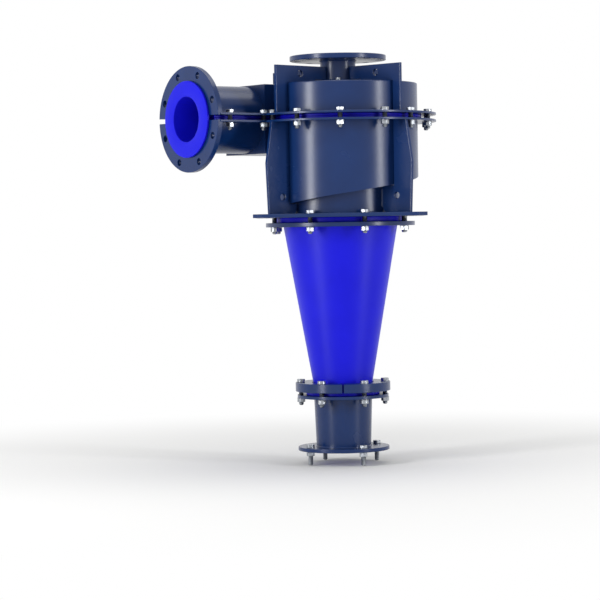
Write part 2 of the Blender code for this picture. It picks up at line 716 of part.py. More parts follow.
def build_cone():
    """Moulded cone with a lip at each end."""
    top = -SEAT_GAP
    lip = top - CONE_LIP_THICKNESS
    bottom = CONE_BOTTOM
    foot = bottom + CONE_FOOT_THICKNESS
    profile = [
        (NOMINAL_BORE / 2, top), (CONE_BOTTOM_BORE_RADIUS, bottom),
        (CONE_FOOT_RADIUS, bottom), (CONE_FOOT_RADIUS, foot),
        (CONE_BOTTOM_RADIUS + CONE_FILLET, foot), (CONE_BOTTOM_RADIUS, foot + CONE_FILLET),
        (CONE_BOTTOM_RADIUS, CLAMP_TOP), (CONE_TOP_RADIUS, RING_BOTTOM),
        (CONE_TOP_RADIUS, lip - CONE_FILLET), (CONE_TOP_RADIUS + CONE_FILLET, lip),
        (CONE_LIP_RADIUS, lip), (CONE_LIP_RADIUS, top),
    ]
    return turned("cone", profile, URETHANE)


def build_cone_ring():
    """Steel ring that clamps the cone's upper lip against the support plate."""
    bore = CONE_TOP_RADIUS + CONE_FILLET + SEAT_GAP
    profile = [
        (bore, RING_BOTTOM), (RING_RADIUS, RING_BOTTOM), (RING_RADIUS, RING_TOP),
        (bore, RING_TOP),
    ]
    places = circle_places(RING_BOLT_COUNT, RING_BOLT_CIRCLE_RADIUS, RING_BOLT_FIRST_DEG)
    ring = turned("cone_ring", profile)
    return drill(ring, places, BOLT_RADIUS + HOLE_CLEARANCE, RING_BOTTOM, RING_TOP)


def build_clamp_halves():
    """Two half rings that grip the cone's lower lip, parted at front and back."""
    bore = CONE_BOTTOM_RADIUS + CONE_FILLET + SEAT_GAP
    profile = [
        (bore, CLAMP_BOTTOM), (CLAMP_RADIUS, CLAMP_BOTTOM), (CLAMP_RADIUS, CLAMP_TOP),
        (bore, CLAMP_TOP),
    ]
    for side, sign in (("left", -1), ("right", 1)):
        half = turned("clamp_ring_" + side, profile)
        gap = CLAMP_SPLIT / 2
        beyond = 2 * CLAMP_RADIUS
        across = sorted((sign * gap, -sign * beyond))
        outline = [(across[0], -beyond), (across[1], -beyond), (across[1], beyond),
                   (across[0], beyond)]
        cut(half, prism("away", outline, CLAMP_BOTTOM - CUT_OVERRUN, CLAMP_TOP + CUT_OVERRUN))
        places = circle_places(CLAMP_BOLT_COUNT, CLAMP_BOLT_CIRCLE_RADIUS, CLAMP_BOLT_FIRST_DEG)
        own = [p for p in places if p.x * sign > 0]
        drill(half, own, BOLT_RADIUS + HOLE_CLEARANCE, CLAMP_BOTTOM, CLAMP_TOP)


def build_spigot():
    """Tapered steel housing between two flanges, and the wear liner inside it."""
    rim = SPIGOT_FLANGE_RADIUS
    top = SPIGOT_TOP
    neck = top - SPIGOT_TOP_FLANGE
    foot = SPIGOT_BOTTOM + SPIGOT_BOTTOM_FLANGE
    top_bore = SPIGOT_TOP_RADIUS - SPIGOT_WALL
    bottom_bore = SPIGOT_BOTTOM_RADIUS - SPIGOT_WALL
    profile = [
        (bottom_bore, SPIGOT_BOTTOM), (rim, SPIGOT_BOTTOM), (rim, foot),
        (SPIGOT_BOTTOM_RADIUS, foot), (SPIGOT_TOP_RADIUS, neck), (rim, neck), (rim, top),
        (top_bore, top),
    ]
    housing = turned("spigot_housing", profile)
    low = circle_places(SPIGOT_BOLT_COUNT, SPIGOT_BOLT_CIRCLE_RADIUS, SPIGOT_BOLT_FIRST_DEG)
    high = circle_places(CLAMP_BOLT_COUNT, CLAMP_BOLT_CIRCLE_RADIUS, CLAMP_BOLT_FIRST_DEG)
    drill(housing, low, BOLT_RADIUS + HOLE_CLEARANCE, SPIGOT_BOTTOM, foot)
    drill(housing, high, BOLT_RADIUS + HOLE_CLEARANCE, neck, top)
    liner = [
        (SPIGOT_BORE_RADIUS, SPIGOT_BOTTOM), (bottom_bore - SEAT_GAP, SPIGOT_BOTTOM),
        (top_bore - SEAT_GAP, top), (CONE_BOTTOM_BORE_RADIUS, top),
    ]
    turned("spigot_liner", liner, URETHANE)


def bolt_ring(radius, centre, height):
    """Six corners at a radius, for a hexagon or a plain shank."""
    points = []
    for i in range(BOLT_SIDES):
        angle = 2 * math.pi * i / BOLT_SIDES
        points.append(Vector((centre.x + radius * math.cos(angle),
                              centre.y + radius * math.sin(angle), height)))
    return points


def hexagon(across, centre, height):
    """Hexagon given by its width across the flats."""
    return bolt_ring(across / math.sqrt(3.0), centre, height)


def stack(bm, rings):
    """Skin a column of rings and cap both ends."""
    rows = [[bm.verts.new(p) for p in ring] for ring in rings]
    for row, following in zip(rows, rows[1:]):
        for k in range(len(row)):
            n = (k + 1) % len(row)
            bm.faces.new((row[k], row[n], following[n], following[k]))
    bm.faces.new(rows[0])
    bm.faces.new(rows[-1])


def build_bolt(name, place, seat, under, hang):
    """One hex bolt with its nut run up, clamping what lies between seat and under."""
    across = BOLT_HEAD_ACROSS
    nut = under - SEAT_GAP
    nut_foot = nut - across * NUT_SHARE
    tip = nut_foot - hang
    bm = bmesh.new()
    stack(bm, [
        hexagon(across, place, seat + SEAT_GAP + across * HEAD_SHARE),
        hexagon(across, place, seat + SEAT_GAP),
        bolt_ring(BOLT_RADIUS, place, seat + SEAT_GAP),
        bolt_ring(BOLT_RADIUS, place, nut),
        hexagon(across, place, nut),
        hexagon(across, place, nut_foot),
        bolt_ring(BOLT_RADIUS, place, nut_foot),
        bolt_ring(BOLT_RADIUS, place, tip + BOLT_RADIUS / 2),
        bolt_ring(BOLT_RADIUS / 2, place, tip),
    ])
    return make_object(name, bm, ZINC)


def build_stud(name, place, seat, tip):
    """Small hex bolt screwed into the roof, with no nut."""
    seat += SEAT_GAP
    bm = bmesh.new()
    stack(bm, [
        hexagon(FOOT_HEAD_ACROSS, place, seat + FOOT_HEAD_ACROSS * HEAD_SHARE),
        hexagon(FOOT_HEAD_ACROSS, place, seat),
        bolt_ring(FOOT_BOLT_RADIUS, place, seat),
        bolt_ring(FOOT_BOLT_RADIUS, place, tip),
    ])
    return make_object(name, bm, ZINC)


def bolt_row(name, places, seat, under, hang):
    """Build a numbered bolt at each place."""
    for number, place in enumerate(places, 1):
        build_bolt(f"{name}_{number}", place, seat, under, hang)


def build_fasteners():
    """Every bolt with its nut, in a node of its own."""
    bolt_row("split_bolt", joint_bolt_places(), JOINT_PLATE_TOP, JOINT_PLATE_BOTTOM, BOLT_PROUD)
    ring = circle_places(RING_BOLT_COUNT, RING_BOLT_CIRCLE_RADIUS, RING_BOLT_FIRST_DEG)
    bolt_row("cone_bolt", ring, SUPPORT_THICKNESS, RING_BOTTOM, BOLT_RADIUS)
    clamp = circle_places(CLAMP_BOLT_COUNT, CLAMP_BOLT_CIRCLE_RADIUS, CLAMP_BOLT_FIRST_DEG)
    bolt_row("clamp_bolt", clamp, CLAMP_TOP, SPIGOT_TOP - SPIGOT_TOP_FLANGE, BOLT_PROUD)
    low = circle_places(SPIGOT_BOLT_COUNT, SPIGOT_BOLT_CIRCLE_RADIUS, SPIGOT_BOLT_FIRST_DEG)
    foot = SPIGOT_BOTTOM + SPIGOT_BOTTOM_FLANGE
    bolt_row("underflow_bolt", low, foot, SPIGOT_BOTTOM, SPIGOT_BOLT_HANG)
    places = circle_places(FOOT_BOLT_COUNT, FOOT_BOLT_CIRCLE_RADIUS, 0)
    for number, place in enumerate(places, 1):
        build_stud(f"foot_bolt_{number}", place, FOOT_TOP, ROOF_TOP - CASING_WALL)


def main():
    clear_scene()
    build_support_plate()
    build_lower_casing()
    build_upper_casing()
    build_lower_liner()
    build_upper_liner()
    build_inlet_liner()
    build_overflow_pipe()
    build_vortex_finder()
    for corner, bearing in RIB_BEARINGS.items():
        build_lower_rib(corner, bearing)
        build_upper_rib(corner, bearing)
    build_cone()
    build_cone_ring()
    build_clamp_halves()
    build_spigot()
    build_fasteners()


main()
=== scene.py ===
"""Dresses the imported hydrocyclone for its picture.

The frame holds the solids at their real size and place. This script stands finer meshes in
for them, gives each one the finish that the real product has, and sets the camera, the light
and the floor. All lengths are in metres, +Z is up, and the origin is on the cyclone's axis at
the underside of its support plate. A bearing is an angle about that axis: 0 faces -Y, towards
the camera, and 90 faces +X.
"""
from __future__ import annotations

import logging
import math
from dataclasses import dataclass, field
from enum import Enum
from typing import Sequence

import bmesh
import bpy
from mathutils import Matrix, Vector

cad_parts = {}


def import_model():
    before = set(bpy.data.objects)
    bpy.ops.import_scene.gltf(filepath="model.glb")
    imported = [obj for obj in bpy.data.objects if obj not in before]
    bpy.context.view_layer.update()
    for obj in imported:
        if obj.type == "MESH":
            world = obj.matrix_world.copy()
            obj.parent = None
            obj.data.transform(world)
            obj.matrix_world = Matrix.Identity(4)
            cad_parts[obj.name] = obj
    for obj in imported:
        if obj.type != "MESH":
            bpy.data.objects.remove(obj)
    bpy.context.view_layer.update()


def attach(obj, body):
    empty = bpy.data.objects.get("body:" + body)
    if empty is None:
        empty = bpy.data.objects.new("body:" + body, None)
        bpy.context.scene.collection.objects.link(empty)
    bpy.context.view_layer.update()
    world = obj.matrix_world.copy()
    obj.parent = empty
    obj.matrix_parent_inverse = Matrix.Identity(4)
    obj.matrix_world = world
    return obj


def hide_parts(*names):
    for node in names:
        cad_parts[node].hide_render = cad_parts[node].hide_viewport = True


LOG = logging.getLogger("hydrocyclone")

Flat = tuple[float, float]
Outline = list[Flat]

# How finely round things are drawn
ROUND_SIDES = 128
HOLE_SIDES = 32
SWEEP_STEP_DEG = 3.0
SMOOTH_DEG = 13.0
EDGE_STEPS = 3
MERGE_DISTANCE = 0.00001
FLAT_DEG = 0.05

# A corner flatter than this isn't rounded, and a side is this many roundings long or more
STRAIGHT_DEG = 170.0
ROUNDINGS_PER_SIDE = 2.2

# Clearances and cutting
SEAT_GAP = 0.0003
CUT_OVERRUN = 0.012
TOP_STEP = 0.001

# The curve from sRGB to linear light
HEX_FULL = 255.0
SRGB_KNEE = 0.04045
SRGB_SLOPE = 12.92
SRGB_OFFSET = 0.055
SRGB_POWER = 2.4

# Sockets that share their name with others of the same node, by their order
MIX_SHARE = 0
MIX_FIRST_COLOUR = 6
MIX_SECOND_COLOUR = 7
MIX_COLOUR = 2
RANDOM_HIGHEST = 3
RANDOM_NUMBER = 1

# Length of one band of a wave texture at scale 1
WAVE_BAND = math.pi / 10

# Angle between the sides of the square support plate
QUARTER_DEG = 90.0


class Slot(Enum):
    """The record's material slots, which each finish belongs to."""

    PAINT = "painted_steel"
    URETHANE = "polyurethane"
    ZINC = "zinc_steel"


class Join(Enum):
    """What one solid does to another, as Blender names it."""

    WELD = "UNION"
    CUT = "DIFFERENCE"


class Corner(Enum):
    """The four corners that carry ribs, by their bearing in degrees."""

    FRONT_LEFT = -45.0
    FRONT_RIGHT = 45.0
    BACK_RIGHT = 135.0
    BACK_LEFT = -135.0

    @property
    def word(self) -> str:
        """Name of the corner as the frame's nodes spell it."""
        return self.name.lower()


def linear(code: str) -> tuple[float, float, float, float]:
    """Turn an sRGB hex colour into the linear colour that shaders take.

    Args:
        code: Six hex digits after a hash sign.

    Returns:
        Red, green, blue and a full alpha.
    """
    light = []
    for number in bytes.fromhex(code[1:]):
        share = number / HEX_FULL
        if share <= SRGB_KNEE:
            light.append(share / SRGB_SLOPE)
        else:
            light.append(((share + SRGB_OFFSET) / (1 + SRGB_OFFSET)) ** SRGB_POWER)
    return (light[0], light[1], light[2], 1.0)


def add_node(
    tree: bpy.types.NodeTree,
    kind: str,
    settings: dict[str, object] | None = None,
    links: dict[str, bpy.types.NodeSocket] | None = None,
    values: dict[str, object] | None = None,
) -> bpy.types.Node:
    """Add one node to a tree, set it up and link it.

    Args:
        tree: Shader or geometry tree that takes the node.
        kind: The node's Blender type name.
        settings: Properties of the node itself.
        links: Sockets that feed its inputs, by input name.
        values: Constants of its inputs, by input name.

    Returns:
        The new node.
    """
    node = tree.nodes.new(kind)
    for name, value in (settings or {}).items():
        setattr(node, name, value)
    for name, value in (values or {}).items():
        node.inputs[name].default_value = value
    for name, socket in (links or {}).items():
        tree.links.new(socket, node.inputs[name])
    return node


def empty_tree(name: str) -> tuple[bpy.types.Material, bpy.types.NodeTree]:
    """Make a material with an empty tree.

    Args:
        name: The material's name.

    Returns:
        The material and its tree.
    """
    made = bpy.data.materials.new(name)
    made.use_nodes = True
    made.node_tree.nodes.clear()
    return made, made.node_tree


@dataclass(frozen=True)
class PaintedSteel:
    """Two-pack navy paint sprayed on steel plate.

    The spray leaves a fine orange peel that breaks up the edges of reflections, and the tone
    drifts a little over a hand's width.
    """

    name: str = "sprayed_navy_paint"
    deep: str = "#05204c"
    usual: str = "#0a2c60"
    drift_size: float = 0.120
    peel_size: float = 0.0035
    peel_depth: float = 0.000016
    ior: float = 1.5
    specular_level: float = 0.34
    glossy_roughness: float = 0.22
    dull_roughness: float = 0.30

    def build(self) -> bpy.types.Material:
        """Build the paint as a material.

        Returns:
            The material.
        """
        made, tree = empty_tree(self.name)
        place = add_node(tree, "ShaderNodeTexCoord").outputs["Object"]
        drift = add_node(tree, "ShaderNodeTexNoise", links={"Vector": place},
                         values={"Scale": 1 / self.drift_size, "Detail": 3.0})
        tone = add_node(tree, "ShaderNodeMix", {"data_type": "RGBA"})
        tone.inputs[MIX_FIRST_COLOUR].default_value = linear(self.deep)
        tone.inputs[MIX_SECOND_COLOUR].default_value = linear(self.usual)
        tree.links.new(drift.outputs["Fac"], tone.inputs[MIX_SHARE])
        sheen = add_node(tree, "ShaderNodeMapRange", links={"Value": drift.outputs["Fac"]},
                         values={"To Min": self.glossy_roughness, "To Max": self.dull_roughness})
        peel = add_node(tree, "ShaderNodeTexNoise", links={"Vector": place},
                        values={"Scale": 1 / self.peel_size, "Detail": 1.0})
        bump = add_node(tree, "ShaderNodeBump", links={"Height": peel.outputs["Fac"]},
                        values={"Strength": 1.0, "Distance": self.peel_depth})
        shader = add_node(
            tree, "ShaderNodeBsdfPrincipled",
            links={"Base Color": tone.outputs[MIX_COLOUR],
                   "Roughness": sheen.outputs["Result"],
                   "Normal": bump.outputs["Normal"]},
            values={"IOR": self.ior, "Specular IOR Level": self.specular_level},
        )
        add_node(tree, "ShaderNodeOutputMaterial", links={"Surface": shader.outputs["BSDF"]})
        return made


@dataclass(frozen=True)
class MouldedPolyurethane:
    """Pigmented polyurethane elastomer, cast in a steel mould.

    The mould's turned wall gives it a satin face with faint level rings, and the pigment
    clouds slightly where the resin flowed.
    """

    name: str = "cast_blue_polyurethane"
    deep: str = "#0b0bb8"
    usual: str = "#1313cc"
    cloud_size: float = 0.090
    ring_pitch: float = 0.004
    ring_depth: float = 0.00002
    ring_distortion: float = 0.6
    grain_size: float = 0.0016
    grain_depth: float = 0.00004
    ior: float = 1.5
    specular_level: float = 0.16
    glossy_roughness: float = 0.36
    dull_roughness: float = 0.46

    def build(self) -> bpy.types.Material:
        """Build the elastomer as a material.

        Returns:
            The material.
        """
        made, tree = empty_tree(self.name)
        place = add_node(tree, "ShaderNodeTexCoord").outputs["Object"]
        cloud = add_node(tree, "ShaderNodeTexNoise", links={"Vector": place},
                         values={"Scale": 1 / self.cloud_size, "Detail": 4.0})
        tone = add_node(tree, "ShaderNodeMix", {"data_type": "RGBA"})
        tone.inputs[MIX_FIRST_COLOUR].default_value = linear(self.deep)
        tone.inputs[MIX_SECOND_COLOUR].default_value = linear(self.usual)
        tree.links.new(cloud.outputs["Fac"], tone.inputs[MIX_SHARE])
        sheen = add_node(tree, "ShaderNodeMapRange", links={"Value": cloud.outputs["Fac"]},
                         values={"To Min": self.glossy_roughness, "To Max": self.dull_roughness})
        rings = add_node(tree, "ShaderNodeTexWave", {"bands_direction": "Z"},
                         links={"Vector": place},
                         values={"Scale": WAVE_BAND / self.ring_pitch,
                                 "Distortion": self.ring_distortion})
        turned_wall = add_node(tree, "ShaderNodeBump", links={"Height": rings.outputs["Fac"]},
                               values={"Strength": 1.0, "Distance": self.ring_depth})
        grain = add_node(tree, "ShaderNodeTexNoise", links={"Vector": place},
                         values={"Scale": 1 / self.grain_size, "Detail": 2.0})
        bump = add_node(tree, "ShaderNodeBump",
                        links={"Height": grain.outputs["Fac"],
                               "Normal": turned_wall.outputs["Normal"]},
                        values={"Strength": 1.0, "Distance": self.grain_depth})
        shader = add_node(
            tree, "ShaderNodeBsdfPrincipled",
            links={"Base Color": tone.outputs[MIX_COLOUR],
                   "Roughness": sheen.outputs["Result"],
                   "Normal": bump.outputs["Normal"]},
            values={"IOR": self.ior, "Specular IOR Level": self.specular_level},
        )
        add_node(tree, "ShaderNodeOutputMaterial", links={"Surface": shader.outputs["BSDF"]})
        return made


@dataclass(frozen=True)
class ZincPlate:
    """Bright zinc electroplate on cold-formed steel fasteners.

    It is a pale grey metal, and its passivation dulls it in small cloudy patches.
    """

    name: str = "bright_zinc_plate"
    deep: str = "#7f848b"
    usual: str = "#b4b8be"
    patch_size: float = 0.006
    bright_roughness: float = 0.22
    dull_roughness: float = 0.40

    def build(self) -> bpy.types.Material:
        """Build the plating as a material.

        Returns:
            The material.
        """
        made, tree = empty_tree(self.name)
        place = add_node(tree, "ShaderNodeTexCoord").outputs["Object"]
        patch = add_node(tree, "ShaderNodeTexNoise", links={"Vector": place},
                         values={"Scale": 1 / self.patch_size, "Detail": 3.0})
        tone = add_node(tree, "ShaderNodeMix", {"data_type": "RGBA"})
        tone.inputs[MIX_FIRST_COLOUR].default_value = linear(self.deep)
        tone.inputs[MIX_SECOND_COLOUR].default_value = linear(self.usual)
        tree.links.new(patch.outputs["Fac"], tone.inputs[MIX_SHARE])
        sheen = add_node(tree, "ShaderNodeMapRange", links={"Value": patch.outputs["Fac"]},
                         values={"To Min": self.dull_roughness, "To Max": self.bright_roughness})
        shader = add_node(
            tree, "ShaderNodeBsdfPrincipled",
            links={"Base Color": tone.outputs[MIX_COLOUR], "Roughness": sheen.outputs["Result"]},
            values={"Metallic": 1.0},
        )
        add_node(tree, "ShaderNodeOutputMaterial", links={"Surface": shader.outputs["BSDF"]})
        return made


@dataclass
class Workshop:
    """Holds the finishes and hands finished pieces to the frame."""

    finishes: dict[Slot, bpy.types.Material] = field(default_factory=dict)

    def mix_finishes(self) -> None:
        """Build each finish once."""
        self.finishes[Slot.PAINT] = PaintedSteel().build()
        self.finishes[Slot.URETHANE] = MouldedPolyurethane().build()
        self.finishes[Slot.ZINC] = ZincPlate().build()

    def hand_over(self, piece: bpy.types.Object, slot: Slot, *nodes: str) -> bpy.types.Object:
        """Give a piece its finish and stand it in for its nodes.

        Args:
            piece: Finished mesh object at the origin.
            slot: Finish that it takes.
            *nodes: Frame nodes that it stands for.

        Returns:
            The same piece.
        """
        piece.data.materials.clear()
        piece.data.materials.append(self.finishes[slot])
        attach(piece, "root")
        if nodes:
            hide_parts(*nodes)
        stands_for = ", ".join(nodes) or "no node"
        LOG.info("%s: %d faces for %s", piece.name, len(piece.data.polygons), stands_for)
        return piece


def mesh_object(name: str, bm: bmesh.types.BMesh) -> bpy.types.Object:
    """Turn a bmesh into a linked object at the origin, smooth but for its sharp edges.

    Args:
        name: The object's name.
        bm: Geometry, which is freed.

    Returns:
        The new object.
    """
    bmesh.ops.remove_doubles(bm, verts=bm.verts, dist=MERGE_DISTANCE)
    bmesh.ops.recalc_face_normals(bm, faces=bm.faces)
    mesh = bpy.data.meshes.new(name)
    bm.to_mesh(mesh)
    bm.free()
    made = bpy.data.objects.new(name, mesh)
    bpy.context.scene.collection.objects.link(made)
    smooth(made)
    return made


def smooth(piece: bpy.types.Object, sharpest: float = SMOOTH_DEG) -> None:
    """Shade a mesh smooth and keep its sharp edges sharp.

    Args:
        piece: Mesh object.
        sharpest: Largest angle in degrees that is still smoothed over.
    """
    piece.data.shade_smooth()
    piece.data.set_sharp_from_angle(angle=math.radians(sharpest))


def gather(name: str, parts: Sequence[bpy.types.Object]) -> bpy.types.Object:
    """Put several closed meshes into one object.

    Args:
        name: Name of the whole.
        parts: Objects whose meshes are taken and which are removed.

    Returns:
        The object that holds them all.
    """
    bm = bmesh.new()
    for part in parts:
        bm.from_mesh(part.data)
        bpy.data.objects.remove(part, do_unlink=True)
    mesh = bpy.data.meshes.new(name)
    bm.to_mesh(mesh)
    bm.free()
    whole = bpy.data.objects.new(name, mesh)
    bpy.context.scene.collection.objects.link(whole)
    smooth(whole)
    return whole


def settled(piece: bpy.types.Object) -> bpy.types.Object:
    """Apply an object's modifiers to its mesh.

    Args:
        piece: Mesh object with live modifiers.

    Returns:
        The same object with a plain mesh.
    """
    bpy.context.view_layer.update()
    whole = piece.evaluated_get(bpy.context.evaluated_depsgraph_get())
    mesh = bpy.data.meshes.new_from_object(whole)
    piece.modifiers.clear()
    piece.data = mesh
    return piece


def give_inputs(step: bpy.types.NodesModifier, given: dict[str, object]) -> None:
    """Set a node tree's named inputs on the modifier that runs it.

    Args:
        step: The modifier, whose tree is already set.
        given: Values by the inputs' names.
    """
    for item in step.node_group.interface.items_tree:
        if item.in_out == "INPUT" and item.name in given:
            step[item.identifier] = given[item.name]


def combine(target: bpy.types.Object, others: Sequence[bpy.types.Object], how: Join) -> None:
    """Weld or cut target with other solids, which are used up.

    Args:
        target: Solid that is changed.
        others: Solids that are used one after another.
        how: What they do to the target.
    """
    for other in others:
        step = target.modifiers.new("solid", "BOOLEAN")
        step.operation = how.value
        step.solver = "EXACT"
        step.object = other
        settled(target)
        bpy.data.objects.remove(other, do_unlink=True)
        bm = bmesh.new()
        bm.from_mesh(target.data)
        bmesh.ops.dissolve_degenerate(bm, edges=bm.edges, dist=MERGE_DISTANCE)
        bmesh.ops.dissolve_limit(
            bm, angle_limit=math.radians(FLAT_DEG), verts=bm.verts, edges=bm.edges,
        )
        bm.to_mesh(target.data)
        bm.free()
    smooth(target)


def around(bearing: float, radius: float, height: float = 0.0) -> Vector:
    """Point at a bearing and radius about the axis.

    Args:
        bearing: Angle about the axis in degrees.
        radius: Distance from the axis.
        height: Height above the seat.

    Returns:
        The point.
    """
    angle = math.radians(bearing)
    return Vector((radius * math.sin(angle), -radius * math.cos(angle), height))


def places_around(count: int, radius: float, first: float = 0.0) -> list[Vector]:
    """Places spaced evenly round the axis.

    Args:
        count: How many places there are.
        radius: Radius of their circle.
        first: Bearing of the first place in degrees.

    Returns:
        The places in the plan.
    """
    return [around(first + 360.0 * i / count, radius) for i in range(count)]


def arc(radius: float, first: float, last: float, centre: Flat = (0.0, 0.0)) -> Outline:
    """Points along a circular arc, with its ends.

    Args:
        radius: The arc's radius.
        first: Angle of its first point in degrees, counted from the plan's first axis.
        last: Angle of its last point in degrees.
        centre: Centre in the same plane.

    Returns:
        The points in order.
    """
    steps = max(2, math.ceil(abs(last - first) / 360.0 * ROUND_SIDES))
    points = []
    for i in range(steps + 1):
        angle = math.radians(first + (last - first) * i / steps)
        points.append((centre[0] + radius * math.cos(angle), centre[1] + radius * math.sin(angle)))
    return points


def circle(radius: float, centre: Flat = (0.0, 0.0), sides: int = HOLE_SIDES) -> Outline:
    """Closed circle as points.

    Args:
        radius: The circle's radius.
        centre: Centre in the plan.
        sides: How many points it has.

    Returns:
        The points, counter-clockwise.
    """
    points = []
    for i in range(sides):
        angle = 2 * math.pi * i / sides
        points.append((centre[0] + radius * math.cos(angle), centre[1] + radius * math.sin(angle)))
    return points


def holes_at(places: Sequence[Vector], radius: float) -> list[Outline]:
    """Round holes at given places.

    Args:
        places: Centres in the plan.
        radius: Radius of each hole.

    Returns:
        The outlines of the holes.
    """
    return [circle(radius, (place.x, place.y)) for place in places]


def signed_area(outline: Outline) -> float:
    """Area of a closed outline.

    Args:
        outline: The outline in the plan.

    Returns:
        The area, negative where the outline runs clockwise.
    """
    total = 0.0
    for (x, y), (u, v) in zip(outline, outline[1:] + outline[:1]):
        total += x * v - u * y
    return total / 2


def plate(
    name: str,
    outline: Outline,
    low: float,
    high: float,
    edge: float,
    holes: Sequence[Outline] = (),
    place: Matrix | None = None,
) -> bpy.types.Object:
    """Cut a flat plate with holes and break all its edges.

    A filled curve with a bevel gives every edge, also those of the holes, the same rounding.

    Args:
        name: The piece's name.
        outline: Outer outline in the plan.
        low: Height of one face.
        high: Height of the other face.
        edge: Radius that breaks the edges.
        holes: Outlines of the openings.
        place: Where the plan lies, if not level on the axis.

    Returns:
        The plate as a mesh object.
    """
    curve = bpy.data.curves.new(name, "CURVE")
    curve.dimensions = "2D"
    curve.fill_mode = "BOTH"
    curve.extrude = (high - low) / 2 - edge
    curve.bevel_depth = edge
    curve.bevel_resolution = EDGE_STEPS - 1
    curve.offset = -edge
    for path, sign in [(outline, 1.0)] + [(hole, -1.0) for hole in holes]:
        run = path if signed_area(path) * sign > 0 else list(reversed(path))
        spline = curve.splines.new("POLY")
        spline.points.add(len(run) - 1)
        for point, (x, y) in zip(spline.points, run):
            point.co = (x, y, 0.0, 1.0)
        spline.use_cyclic_u = True
    drawn = bpy.data.objects.new(name, curve)
    bpy.context.scene.collection.objects.link(drawn)
    bpy.context.view_layer.update()
    whole = drawn.evaluated_get(bpy.context.evaluated_depsgraph_get())
    mesh = bpy.data.meshes.new_from_object(whole)
    bpy.data.objects.remove(drawn, do_unlink=True)
    mesh.transform((place or Matrix.Identity(4)) @ Matrix.Translation((0, 0, (low + high) / 2)))
    bm = bmesh.new()
    bm.from_mesh(mesh)
    bpy.data.meshes.remove(mesh)
    return mesh_object(name, bm)


def softened(profile: Outline, edge: float, sharp: Sequence[int] = ()) -> Outline:
    """Round the corners of a closed profile.

    Args:
        profile: Corners of the section as (radius, height).
        edge: Radius of the rounding.
        sharp: Indices of the corners that stay as they are.

    Returns:
        The profile with a short arc at each corner.
    """
    rounded: Outline = []
    count = len(profile)
    for i, corner in enumerate(profile):
        here = Vector(corner)
        before = Vector(profile[i - 1]) - here
        after = Vector(profile[(i + 1) % count]) - here
        reach = min(edge, before.length / ROUNDINGS_PER_SIDE,
                    after.length / ROUNDINGS_PER_SIDE)
        if i in sharp or before.angle(after) > math.radians(STRAIGHT_DEG):
            rounded.append(corner)
            continue
        first = here + before.normalized() * reach
        last = here + after.normalized() * reach
        for k in range(EDGE_STEPS + 1):
            t = k / EDGE_STEPS
            point = first * (1 - t) ** 2 + here * 2 * t * (1 - t) + last * t ** 2
            rounded.append((point.x, point.y))
    return rounded


def turned(name: str, profile: Outline, place: Matrix | None = None) -> bpy.types.Object:
    """Spin a closed profile about the axis.

    Args:
        name: The piece's name.
        profile: Section as (radius, height).
        place: Where the spindle lies, if not on the axis.

    Returns:
        The turned piece as a mesh object.
    """
    bm = bmesh.new()
    rows = []
    for i in range(ROUND_SIDES):
        bearing = 360.0 * i / ROUND_SIDES
        rows.append([bm.verts.new(around(bearing, r, z)) for r, z in profile])
    for row, following in zip(rows, rows[1:] + rows[:1]):
        for k in range(len(profile)):
            n = (k + 1) % len(profile)
            bm.faces.new((row[k], row[n], following[n], following[k]))
    made = mesh_object(name, bm)
    if place:
        made.data.transform(place)
    return made


def prism(name: str, outline: Outline, low: float, high: float) -> bpy.types.Object:
    """Extrude a closed outline between two heights.

    Args:
        name: The piece's name.
        outline: Outline in the plan.
        low: Height of the underside.
        high: Height of the top.

    Returns:
        The prism as a mesh object.
    """
    bm = bmesh.new()
    face = bm.faces.new([bm.verts.new((x, y, low)) for x, y in outline])
    grown = bmesh.ops.extrude_face_region(bm, geom=[face])
    moved = [v for v in grown["geom"] if isinstance(v, bmesh.types.BMVert)]
    bmesh.ops.translate(bm, verts=moved, vec=(0, 0, high - low))
    return mesh_object(name, bm)


def rod(name: str, radius: float, start: Vector, end: Vector) -> bpy.types.Object:
    """Solid round bar between two points.

    Args:
        name: The piece's name.
        radius: The bar's radius.
        start: Middle of one end.
        end: Middle of the other end.

    Returns:
        The bar as a mesh object.
    """
    bm = bmesh.new()
    axis = end - start
    turn = axis.to_track_quat("Z", "Y").to_matrix().to_4x4()
    bmesh.ops.create_cone(
        bm, cap_ends=True, segments=ROUND_SIDES, radius1=radius, radius2=radius,
        depth=axis.length, matrix=Matrix.Translation((start + end) / 2) @ turn,
    )
    return mesh_object(name, bm)


